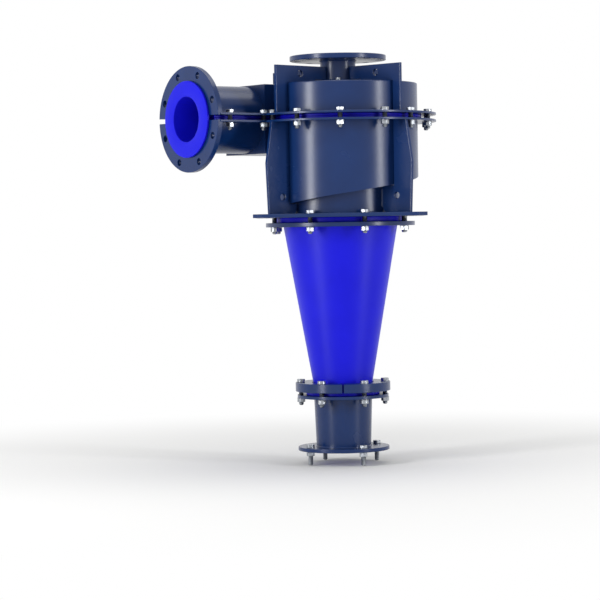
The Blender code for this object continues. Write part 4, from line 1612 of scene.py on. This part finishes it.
@dataclass
class Spigot:
    """Tapered steel housing under the cone, with its wear liner."""

    cone: ConeSection
    top_radius: float = 0.096
    bottom_radius: float = 0.0895
    height: float = 0.183
    flange_radius: float = 0.150
    top_flange: float = 0.010
    bottom_flange: float = 0.012
    wall: float = 0.007
    bore: float = 0.045
    bolt_circle: float = 0.126
    bolts: int = 4
    bolt_first_deg: float = 30.0
    edge: float = 0.0012

    @property
    def top(self) -> float:
        """Top face of the upper flange."""
        return self.cone.bottom - SEAT_GAP

    @property
    def bottom(self) -> float:
        """Underside of the underflow flange."""
        return self.top - self.height

    def bolt_places(self) -> list[Vector]:
        """Places of the long bolts that hang from the underflow flange."""
        return places_around(self.bolts, self.bolt_circle, self.bolt_first_deg)

    def build_housing(self) -> bpy.types.Object:
        """Two flanges and the tapered tube between them.

        Returns:
            The housing.
        """
        hole = self.cone.head.bolt_hole_radius
        upper = [circle(self.top_radius - self.wall, sides=ROUND_SIDES)]
        upper += holes_at(self.cone.clamp_places(), hole)
        lower = [circle(self.bottom_radius - self.wall, sides=ROUND_SIDES)]
        lower += holes_at(self.bolt_places(), hole)
        rim = circle(self.flange_radius, sides=ROUND_SIDES)
        tube = turned("tube", [
            (self.bottom_radius - self.wall, self.bottom + self.edge),
            (self.bottom_radius, self.bottom + self.edge),
            (self.top_radius, self.top - self.edge),
            (self.top_radius - self.wall, self.top - self.edge),
        ])
        parts = [
            tube,
            plate("upper", rim, self.top - self.top_flange, self.top, self.edge, upper),
            plate("lower", rim, self.bottom, self.bottom + self.bottom_flange, self.edge, lower),
        ]
        return gather("underflow_housing", parts)

    def build_liner(self) -> bpy.types.Object:
        """Moulded liner with the tapering underflow bore.

        Returns:
            The liner.
        """
        profile = [
            (self.bore, self.bottom), (self.bottom_radius - self.wall - SEAT_GAP, self.bottom),
            (self.top_radius - self.wall - SEAT_GAP, self.top), (self.cone.bottom_bore, self.top),
        ]
        return turned("moulded_spigot", softened(profile, self.edge))

    def dress(self, shop: Workshop) -> None:
        """Build the spigot's pieces and stand them in for the frame's.

        Args:
            shop: Workshop that finishes them.
        """
        shop.hand_over(self.build_housing(), Slot.PAINT, "spigot_housing")
        shop.hand_over(self.build_liner(), Slot.URETHANE, "spigot_liner")


@dataclass(frozen=True)
class BoltSize:
    """Sizes of one hex bolt and its nut."""

    shank: float
    across: float
    pitch: float
    washer: float = 0.0022
    head_share: float = 0.43
    nut_share: float = 0.60

    @property
    def head(self) -> float:
        """Height of the head with its washer."""
        return self.across * self.head_share

    @property
    def nut(self) -> float:
        """Height of the nut with its washer."""
        return self.across * self.nut_share


M16 = BoltSize(shank=0.008, across=0.024, pitch=0.002)
M10 = BoltSize(shank=0.005, across=0.016, pitch=0.0015)


@dataclass
class Bolt:
    """One hex bolt about its own axis, with its seat at zero."""

    size: BoltSize
    grip: float
    hang: float
    with_nut: bool = True
    sides: int = 30
    washer_share: float = 0.575
    face_share: float = 0.96
    chamfer_slope: float = 0.577
    thread_share: float = 0.32
    point_radius_share: float = 0.62
    point_length_share: float = 0.3

    def hexagon_reach(self, angle: float) -> float:
        """Distance from the bolt's axis to the hexagon's outline.

        Args:
            angle: Direction in radians, counted from the middle of a flat.

        Returns:
            The distance.
        """
        flat_angle = math.pi / 3
        part = (angle + flat_angle / 2) % flat_angle - flat_angle / 2
        return self.size.across / 2 / math.cos(part)

    def hexagon(self, bm: bmesh.types.BMesh, low: float, high: float, both: bool) -> None:
        """Add a hexagon whose corners are turned down to a circle.

        Args:
            bm: Mesh that takes it.
            low: Height of its underside.
            high: Height of its top.
            both: Whether its underside is turned down too.
        """
        circle_radius = self.size.across / 2 * self.face_share
        reach = self.hexagon_reach
        angles = [2 * math.pi * i / self.sides for i in range(self.sides)]
        drops = [(reach(a) - circle_radius) * self.chamfer_slope for a in angles]
        rings = []
        if both:
            rings.append([(circle_radius, a, low) for a in angles])
            rings.append([(reach(a), a, low + d) for a, d in zip(angles, drops)])
        else:
            rings.append([(reach(a), a, low) for a in angles])
        rings.append([(reach(a), a, high - d) for a, d in zip(angles, drops)])
        rings.append([(circle_radius, a, high) for a in angles])
        self.skin(bm, rings)

    def skin(self, bm: bmesh.types.BMesh, rings: Sequence[Sequence[tuple[float, ...]]]) -> None:
        """Skin a column of rings of (radius, angle, height) and cap its ends.

        Args:
            bm: Mesh that takes the skin.
            rings: The rings from one end to the other.
        """
        rows = [
            [bm.verts.new((r * math.cos(a), r * math.sin(a), z)) for r, a, z in ring]
            for ring in rings
        ]
        for row, following in zip(rows, rows[1:]):
            for k in range(len(row)):
                n = (k + 1) % len(row)
                bm.faces.new((row[k], row[n], following[n], following[k]))
        bm.faces.new(rows[0])
        bm.faces.new(rows[-1])

    def ring(self, radius: float, height: float) -> list[tuple[float, ...]]:
        """Ring of (radius, angle, height) for the skin."""
        return [(radius, 2 * math.pi * i / self.sides, height) for i in range(self.sides)]

    def disc(self, bm: bmesh.types.BMesh, low: float, high: float) -> None:
        """Add a plain washer with broken edges.

        Args:
            bm: Mesh that takes it.
            low: Height of its lower end.
            high: Height of its upper end.
        """
        radius = self.size.across * self.washer_share
        edge = (high - low) / 4
        self.skin(bm, [
            self.ring(radius - edge, low), self.ring(radius, low + edge),
            self.ring(radius, high - edge), self.ring(radius - edge, high),
        ])

    def thread(self, bm: bmesh.types.BMesh, low: float, high: float) -> None:
        """Add a shank with its thread drawn as rings, and a pointed end below.

        Args:
            bm: Mesh that takes it.
            low: Height of its lower end.
            high: Height of its upper end.
        """
        radius = self.size.shank
        depth = self.size.pitch * self.thread_share
        point = radius * self.point_length_share
        rings = [
            self.ring(radius * self.point_radius_share, low),
            self.ring(radius - depth, low + point),
        ]
        count = int((high - low - point) / self.size.pitch)
        for i in range(count):
            base = low + point + self.size.pitch * i
            rings.append(self.ring(radius, base + self.size.pitch / 2))
            rings.append(self.ring(radius - depth, base + self.size.pitch))
        rings.append(self.ring(radius - depth, high))
        self.skin(bm, rings)

    def build(self) -> bpy.types.Object:
        """Build the bolt, which serves as the pattern for a whole row.

        Returns:
            The bolt.
        """
        bm = bmesh.new()
        size = self.size
        self.disc(bm, SEAT_GAP, SEAT_GAP + size.washer)
        self.hexagon(bm, SEAT_GAP + size.washer, SEAT_GAP + size.head, False)
        nut_top = -self.grip - SEAT_GAP
        nut_foot = nut_top - size.nut
        tip = nut_foot - self.hang if self.with_nut else -self.grip
        self.thread(bm, tip, SEAT_GAP + size.washer)
        if self.with_nut:
            self.disc(bm, nut_top - size.washer, nut_top)
            self.hexagon(bm, nut_foot, nut_top - size.washer, True)
        bmesh.ops.recalc_face_normals(bm, faces=bm.faces)
        return mesh_object("pattern_bolt", bm)


@dataclass
class BoltRow:
    """A row of equal bolts, set on its places by a node tree.

    Every bolt gets its own turn about its axis, as when they are tightened by hand.
    """

    name: str
    pattern: Bolt
    seat: float
    places: list[Vector]
    nodes: list[str]
    seed: int = 1

    def grow_tree(self, finish: bpy.types.Material) -> bpy.types.NodeTree:
        """Build the tree that sets the pattern on each place.

        Args:
            finish: Material of the bolts.

        Returns:
            The tree, with the pattern, the seat's height and the seed as named inputs.
        """
        tree = bpy.data.node_groups.new(self.name + "_tree", "GeometryNodeTree")
        face = tree.interface
        face.new_socket("Places", in_out="INPUT", socket_type="NodeSocketGeometry")
        face.new_socket("Pattern bolt", in_out="INPUT", socket_type="NodeSocketObject")
        face.new_socket("Seat height", in_out="INPUT", socket_type="NodeSocketFloat")
        face.new_socket("Turn seed", in_out="INPUT", socket_type="NodeSocketInt")
        face.new_socket("Bolts", in_out="OUTPUT", socket_type="NodeSocketGeometry")
        given = add_node(tree, "NodeGroupInput")
        lift = add_node(tree, "ShaderNodeCombineXYZ",
                        links={"Z": given.outputs["Seat height"]})
        raised = add_node(tree, "GeometryNodeSetPosition",
                          links={"Geometry": given.outputs["Places"],
                                 "Offset": lift.outputs["Vector"]})
        model = add_node(tree, "GeometryNodeObjectInfo",
                         links={"Object": given.outputs["Pattern bolt"]})
        turn = add_node(tree, "FunctionNodeRandomValue", {"data_type": "FLOAT"})
        turn.inputs[RANDOM_HIGHEST].default_value = 2 * math.pi
        tree.links.new(given.outputs["Turn seed"], turn.inputs["Seed"])
        spin = add_node(tree, "ShaderNodeCombineXYZ", links={"Z": turn.outputs[RANDOM_NUMBER]})
        rotation = add_node(tree, "FunctionNodeEulerToRotation",
                            links={"Euler": spin.outputs["Vector"]})
        bolts = add_node(tree, "GeometryNodeInstanceOnPoints",
                         links={"Points": raised.outputs["Geometry"],
                                "Instance": model.outputs["Geometry"],
                                "Rotation": rotation.outputs["Rotation"]})
        real = add_node(tree, "GeometryNodeRealizeInstances",
                        links={"Geometry": bolts.outputs["Instances"]})
        dressed = add_node(tree, "GeometryNodeSetMaterial",
                           links={"Geometry": real.outputs["Geometry"]},
                           values={"Material": finish})
        add_node(tree, "NodeGroupOutput", links={"Bolts": dressed.outputs["Geometry"]})
        return tree

    def build(self, shop: Workshop) -> bpy.types.Object:
        """Build the row as one plain mesh.

        Args:
            shop: Workshop that finishes it.

        Returns:
            The row.
        """
        mesh = bpy.data.meshes.new(self.name)
        mesh.from_pydata([(p.x, p.y, 0.0) for p in self.places], [], [])
        row = bpy.data.objects.new(self.name, mesh)
        bpy.context.scene.collection.objects.link(row)
        model = self.pattern.build()
        step = row.modifiers.new("row", "NODES")
        step.node_group = self.grow_tree(shop.finishes[Slot.ZINC])
        give_inputs(step, {
            "Pattern bolt": model, "Seat height": self.seat, "Turn seed": self.seed,
        })
        settled(row)
        smooth(row)
        bpy.data.objects.remove(model, do_unlink=True)
        return shop.hand_over(row, Slot.ZINC, *self.nodes)


@dataclass
class Fasteners:
    """Every bolt on the cyclone."""

    head: SpiralHead
    overflow: Overflow
    support: Support
    cone: ConeSection
    spigot: Spigot
    proud: float = 0.010
    long_hang: float = 0.030

    def names(self, word: str, count: int) -> list[str]:
        """Names of the frame's nodes for one row."""
        return [f"{word}_{i}" for i in range(1, count + 1)]

    def dress(self, shop: Workshop) -> None:
        """Build the rows and stand them in for the frame's bolts.

        Args:
            shop: Workshop that finishes them.
        """
        head, cone, spigot, over = self.head, self.cone, self.spigot, self.overflow
        split = head.bolt_places()
        grip = head.joint_top - head.joint_bottom
        BoltRow("split_joint_bolts", Bolt(M16, grip, self.proud), head.joint_top, split,
                self.names("split_bolt", len(split)), seed=3).build(shop)
        ring = cone.ring_places()
        grip = self.support.thickness - cone.ring_bottom
        BoltRow("lip_ring_bolts", Bolt(M16, grip, M16.shank), self.support.thickness, ring,
                self.names("cone_bolt", len(ring)), seed=5).build(shop)
        clamp = cone.clamp_places()
        grip = cone.clamp_high - (spigot.top - spigot.top_flange)
        BoltRow("split_ring_bolts", Bolt(M16, grip, self.proud), cone.clamp_high, clamp,
                self.names("clamp_bolt", len(clamp)), seed=7).build(shop)
        low = spigot.bolt_places()
        seat = spigot.bottom + spigot.bottom_flange
        BoltRow("underflow_bolts", Bolt(M16, spigot.bottom_flange, self.long_hang), seat, low,
                self.names("underflow_bolt", len(low)), seed=9).build(shop)
        foot = places_around(over.foot_bolts, over.foot_bolt_circle)
        grip = over.foot_high - (head.roof_top - head.casing_wall)
        BoltRow("foot_bolts", Bolt(M10, grip, 0.0, with_nut=False), over.foot_high, foot,
                self.names("foot_bolt", len(foot)), seed=11).build(shop)


@dataclass
class WeldBeads:
    """Fillet welds that join the painted plates and tubes.

    Each bead follows its seam on a node tree, whose ripples are the welder's steps.
    """

    head: SpiralHead
    overflow: Overflow
    support: Support
    spigot: Spigot
    radius: float = 0.0034
    ripple_pitch: float = 0.0030
    ripple_share: float = 0.08
    smooth_deg: float = 70.0
    sides: int = 10
    corner_gap: float = 0.006
    seed: int = 4

    def ring(self, radius: float, height: float) -> list[Vector]:
        """Closed seam round the axis."""
        points = circle(radius, sides=ROUND_SIDES)
        return [Vector((x, y, height)) for x, y in points + points[:1]]

    def half_ring(self, reach: float, up: bool) -> list[Vector]:
        """Seam of one half of the inlet pipe at its flange, clear of the split joint.

        Args:
            reach: Distance of the seam from the axis along the pipe.
            up: Whether it is the upper half.

        Returns:
            The seam's points.
        """
        gap = math.degrees(math.asin((self.head.joint_gap + 2 * self.corner_gap)
                                     / self.head.pipe_radius))
        turn = 0.0 if up else 180.0
        section = arc(self.head.pipe_radius, turn + gap, turn + 180.0 - gap)
        place = self.head.pipe_place(reach)
        return [place @ Vector((x, y, 0.0)) for x, y in section]

    def rib_seams(self, corner: Corner) -> list[list[Vector]]:
        """Seams on both faces of the gussets at one corner.

        Args:
            corner: Corner that the gussets stand at.

        Returns:
            Seams along the support plate, up the throat and along the roof.
        """
        support, head = self.support, self.head
        bearing = corner.value
        floor = support.wall_edge(bearing)[1]
        foot_from = head.throat_radius + support.rib_notch + self.corner_gap
        low_from = support.thickness + support.rib_notch + self.corner_gap
        roof_from = self.overflow.foot_radius + self.corner_gap
        roof_to = support.wall_edge(bearing)[0] - 3 * self.corner_gap
        seams = []
        for sign in (-1, 1):
            face = around(bearing + 90.0, sign * support.rib_thickness / 2)
            seams.append([
                around(bearing, foot_from, support.thickness) + face,
                around(bearing, self.plate_reach(bearing) - self.corner_gap,
                       support.thickness) + face,
            ])
            if floor > low_from + 4 * self.corner_gap:
                wall = head.throat_radius
                seams.append([
                    around(bearing, wall, low_from) + face,
                    around(bearing, wall, floor - 2 * self.corner_gap) + face,
                ])
            seams.append([
                around(bearing, roof_from, head.roof_top) + face,
                around(bearing, roof_to, head.roof_top) + face,
            ])
        return seams

    def plate_reach(self, bearing: float) -> float:
        """How far a seam can run out before the gusset or the support plate ends.

        Args:
            bearing: The gusset's bearing.

        Returns:
            The distance from the axis.
        """
        turn = math.radians((bearing + QUARTER_DEG / 2) % QUARTER_DEG - QUARTER_DEG / 2)
        edge = self.support.side / 2 / math.cos(turn)
        return min(self.support.rib_foot, edge)

    def seams(self) -> list[list[Vector]]:
        """Every seam that carries a bead.

        Returns:
            The seams, each as its points in order.
        """
        head, over, spigot = self.head, self.overflow, self.spigot
        neck = spigot.top - spigot.top_flange
        foot = spigot.bottom + spigot.bottom_flange
        flange = head.inlet_reach - head.flange_thickness
        lines = [
            self.ring(head.throat_radius, self.support.thickness),
            self.ring(over.pipe_radius, over.foot_high),
            self.ring(over.pipe_radius, over.height - over.flange_thickness),
            self.ring(spigot.top_radius, neck),
            self.ring(spigot.bottom_radius, foot),
            self.half_ring(flange, True),
            self.half_ring(flange, False),
        ]
        for corner in Corner:
            lines += self.rib_seams(corner)
        return lines

    def grow_tree(self, finish: bpy.types.Material) -> bpy.types.NodeTree:
        """Build the tree that lays a rippled bead along each seam.

        Args:
            finish: Material of the beads.

        Returns:
            The tree, with the bead's sizes and the seed as named inputs.
        """
        tree = bpy.data.node_groups.new("weld_bead_tree", "GeometryNodeTree")
        face = tree.interface
        face.new_socket("Seams", in_out="INPUT", socket_type="NodeSocketGeometry")
        face.new_socket("Bead radius", in_out="INPUT", socket_type="NodeSocketFloat")
        face.new_socket("Ripple pitch", in_out="INPUT", socket_type="NodeSocketFloat")
        face.new_socket("Ripple share", in_out="INPUT", socket_type="NodeSocketFloat")
        face.new_socket("Bead sides", in_out="INPUT", socket_type="NodeSocketInt")
        face.new_socket("Step seed", in_out="INPUT", socket_type="NodeSocketInt")
        face.new_socket("Beads", in_out="OUTPUT", socket_type="NodeSocketGeometry")
        given = add_node(tree, "NodeGroupInput")
        steps = add_node(tree, "GeometryNodeResampleCurve", {"mode": "LENGTH"},
                         links={"Curve": given.outputs["Seams"],
                                "Length": given.outputs["Ripple pitch"]})
        uneven = add_node(tree, "FunctionNodeRandomValue", {"data_type": "FLOAT"},
                          links={"Seed": given.outputs["Step seed"]})
        ripple = add_node(tree, "ShaderNodeMath", {"operation": "MULTIPLY_ADD"})
        tree.links.new(uneven.outputs[RANDOM_NUMBER], ripple.inputs[0])
        tree.links.new(given.outputs["Ripple share"], ripple.inputs[1])
        ripple.inputs[2].default_value = 1.0
        swell = add_node(tree, "GeometryNodeSetCurveRadius",
                         links={"Curve": steps.outputs["Curve"],
                                "Radius": ripple.outputs["Value"]})
        section = add_node(tree, "GeometryNodeCurvePrimitiveCircle",
                           links={"Resolution": given.outputs["Bead sides"],
                                  "Radius": given.outputs["Bead radius"]})
        bead = add_node(tree, "GeometryNodeCurveToMesh",
                        links={"Curve": swell.outputs["Curve"],
                               "Profile Curve": section.outputs["Curve"],
                               "Scale": ripple.outputs["Value"]},
                        values={"Fill Caps": True})
        real = add_node(tree, "GeometryNodeRealizeInstances",
                        links={"Geometry": bead.outputs["Mesh"]})
        dressed = add_node(tree, "GeometryNodeSetMaterial",
                           links={"Geometry": real.outputs["Geometry"]},
                           values={"Material": finish})
        add_node(tree, "NodeGroupOutput", links={"Beads": dressed.outputs["Geometry"]})
        return tree

    def dress(self, shop: Workshop) -> None:
        """Lay every bead and paint it.

        Args:
            shop: Workshop that finishes them.
        """
        data = bpy.data.curves.new("weld_seams", "CURVE")
        data.dimensions = "3D"
        for line in self.seams():
            spline = data.splines.new("POLY")
            spline.points.add(len(line) - 1)
            for point, place in zip(spline.points, line):
                point.co = (*place, 1.0)
        seam = bpy.data.objects.new("weld_seams", data)
        bpy.context.scene.collection.objects.link(seam)
        step = seam.modifiers.new("beads", "NODES")
        step.node_group = self.grow_tree(shop.finishes[Slot.PAINT])
        give_inputs(step, {
            "Bead radius": self.radius, "Ripple pitch": self.ripple_pitch,
            "Ripple share": self.ripple_share, "Bead sides": self.sides,
            "Step seed": self.seed,
        })
        bpy.context.view_layer.update()
        whole = seam.evaluated_get(bpy.context.evaluated_depsgraph_get())
        mesh = bpy.data.meshes.new_from_object(whole)
        bpy.data.objects.remove(seam, do_unlink=True)
        bm = bmesh.new()
        bm.from_mesh(mesh)
        bmesh.ops.recalc_face_normals(bm, faces=bm.faces)
        beads = mesh_object("weld_beads", bm)
        smooth(beads, self.smooth_deg)
        shop.hand_over(beads, Slot.PAINT)


@dataclass(frozen=True)
class Lamp:
    """One soft area light."""

    name: str
    place: tuple[float, float, float]
    aim: tuple[float, float, float]
    width: float
    height: float
    power: float

    def build(self) -> bpy.types.Object:
        """Set up the lamp.

        Returns:
            The lamp.
        """
        data = bpy.data.lights.new(self.name, "AREA")
        data.shape = "RECTANGLE"
        data.size = self.width
        data.size_y = self.height
        data.energy = self.power
        lamp = bpy.data.objects.new(self.name, data)
        lamp.location = self.place
        heading = Vector(self.aim) - Vector(self.place)
        lamp.rotation_euler = heading.to_track_quat("-Z", "Y").to_euler()
        bpy.context.scene.collection.objects.link(lamp)
        return lamp


@dataclass
class Studio:
    """Camera, soft lamps, pale floor and white background."""

    distance: float = 7.6
    eye_height: float = -0.03
    lens_mm: float = 138.5
    sensor_mm: float = 36.0
    aim: tuple[float, float, float] = (-0.137, 0.0, -0.2710)
    lean_deg: float = 0.97
    floor_height: float = -0.812
    floor_reach: float = 40.0
    floor_clear: float = 0.6
    floor_faded: float = 2.4
    floor_colour: str = "#f4f4f2"
    floor_roughness: float = 0.8
    background_colour: str = "#ffffff"
    fill: float = 0.30
    lamps: tuple[Lamp, ...] = (
        Lamp("left_softbox", (-2.9, -2.35, 0.4), (0.0, 0.0, -0.1), 0.60, 2.8, 106.0),
        Lamp("right_softbox", (3.15, -1.97, 0.4), (0.0, 0.0, -0.1), 0.40, 2.8, 76.0),
        Lamp("front_softbox", (-0.6, -5.5, 3.4), (0.0, 0.0, -0.1), 2.2, 1.6, 30.0),
        Lamp("top_softbox", (0.2, 0.4, 3.2), (0.0, 0.0, 0.0), 2.4, 2.4, 45.0),
    )

    def aim_camera(self) -> bpy.types.Object:
        """Set the camera in front, leaning as the photograph does.

        Returns:
            The camera.
        """
        data = bpy.data.cameras.new("camera")
        data.lens = self.lens_mm
        data.sensor_width = self.sensor_mm
        camera = bpy.data.objects.new("camera", data)
        place = Vector((0.0, -self.distance, self.eye_height))
        turn = (Vector(self.aim) - place).to_track_quat("-Z", "Y").to_matrix().to_4x4()
        lean = Matrix.Rotation(-math.radians(self.lean_deg), 4, "Z")
        camera.matrix_world = Matrix.Translation(place) @ turn @ lean
        bpy.context.scene.collection.objects.link(camera)
        bpy.context.scene.camera = camera
        return camera

    def floor_finish(self) -> bpy.types.Material:
        """Matt white that fades into the background with distance.

        Returns:
            The material.
        """
        made, tree = empty_tree("matt_white_studio_floor")
        place = add_node(tree, "ShaderNodeTexCoord")
        reach = add_node(tree, "ShaderNodeVectorMath", {"operation": "LENGTH"})
        tree.links.new(place.outputs["Object"], reach.inputs[0])
        fade = add_node(tree, "ShaderNodeMapRange", {"interpolation_type": "SMOOTHSTEP"},
                        links={"Value": reach.outputs["Value"]},
                        values={"From Min": self.floor_clear, "From Max": self.floor_faded})
        matt = add_node(tree, "ShaderNodeBsdfPrincipled",
                        values={"Base Color": linear(self.floor_colour),
                                "Roughness": self.floor_roughness})
        white = add_node(tree, "ShaderNodeEmission")
        mixed = add_node(tree, "ShaderNodeMixShader", links={"Fac": fade.outputs["Result"]})
        tree.links.new(matt.outputs["BSDF"], mixed.inputs[1])
        tree.links.new(white.outputs["Emission"], mixed.inputs[2])
        add_node(tree, "ShaderNodeOutputMaterial", links={"Surface": mixed.outputs["Shader"]})
        return made

    def lay_floor(self) -> bpy.types.Object:
        """Lay the floor just under the lowest bolts.

        Returns:
            The floor.
        """
        bm = bmesh.new()
        bmesh.ops.create_grid(bm, x_segments=1, y_segments=1, size=self.floor_reach)
        bmesh.ops.translate(bm, vec=(0.0, 0.0, self.floor_height), verts=bm.verts)
        floor = mesh_object("floor", bm)
        floor.data.materials.append(self.floor_finish())
        return floor

    def light_background(self) -> None:
        """White where it is seen, reflected or seen through, and a dimmer fill elsewhere."""
        world = bpy.data.worlds.new("studio")
        world.use_nodes = True
        tree = world.node_tree
        tree.nodes.clear()
        ray = add_node(tree, "ShaderNodeLightPath")
        seen = add_node(tree, "ShaderNodeMath", {"operation": "MAXIMUM"})
        tree.links.new(ray.outputs["Is Camera Ray"], seen.inputs[0])
        tree.links.new(ray.outputs["Is Glossy Ray"], seen.inputs[1])
        any_seen = add_node(tree, "ShaderNodeMath", {"operation": "MAXIMUM"})
        tree.links.new(seen.outputs["Value"], any_seen.inputs[0])
        tree.links.new(ray.outputs["Is Transmission Ray"], any_seen.inputs[1])
        strength = add_node(tree, "ShaderNodeMapRange", links={"Value": any_seen.outputs["Value"]},
                            values={"To Min": self.fill, "To Max": 1.0})
        glow = add_node(tree, "ShaderNodeBackground",
                        links={"Strength": strength.outputs["Result"]},
                        values={"Color": linear(self.background_colour)})
        add_node(tree, "ShaderNodeOutputWorld", links={"Surface": glow.outputs["Background"]})
        bpy.context.scene.world = world

    def build(self) -> None:
        """Set up the whole studio."""
        self.aim_camera()
        self.lay_floor()
        self.light_background()
        for lamp in self.lamps:
            lamp.build()
        bpy.context.scene.view_settings.view_transform = "Standard"


def main() -> None:
    """Build the whole scene."""
    logging.basicConfig(level=logging.INFO, format="%(message)s")
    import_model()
    shop = Workshop()
    shop.mix_finishes()
    head = SpiralHead()
    overflow = Overflow(head)
    cone = ConeSection(head)
    support = Support(head, overflow, cone)
    spigot = Spigot(cone)
    fasteners = Fasteners(head, overflow, support, cone, spigot)
    welds = WeldBeads(head, overflow, support, spigot)
    for section in (head, overflow, support, cone, spigot, fasteners, welds):
        section.dress(shop)
    Studio().build()


if __name__ == "__main__":
    main()
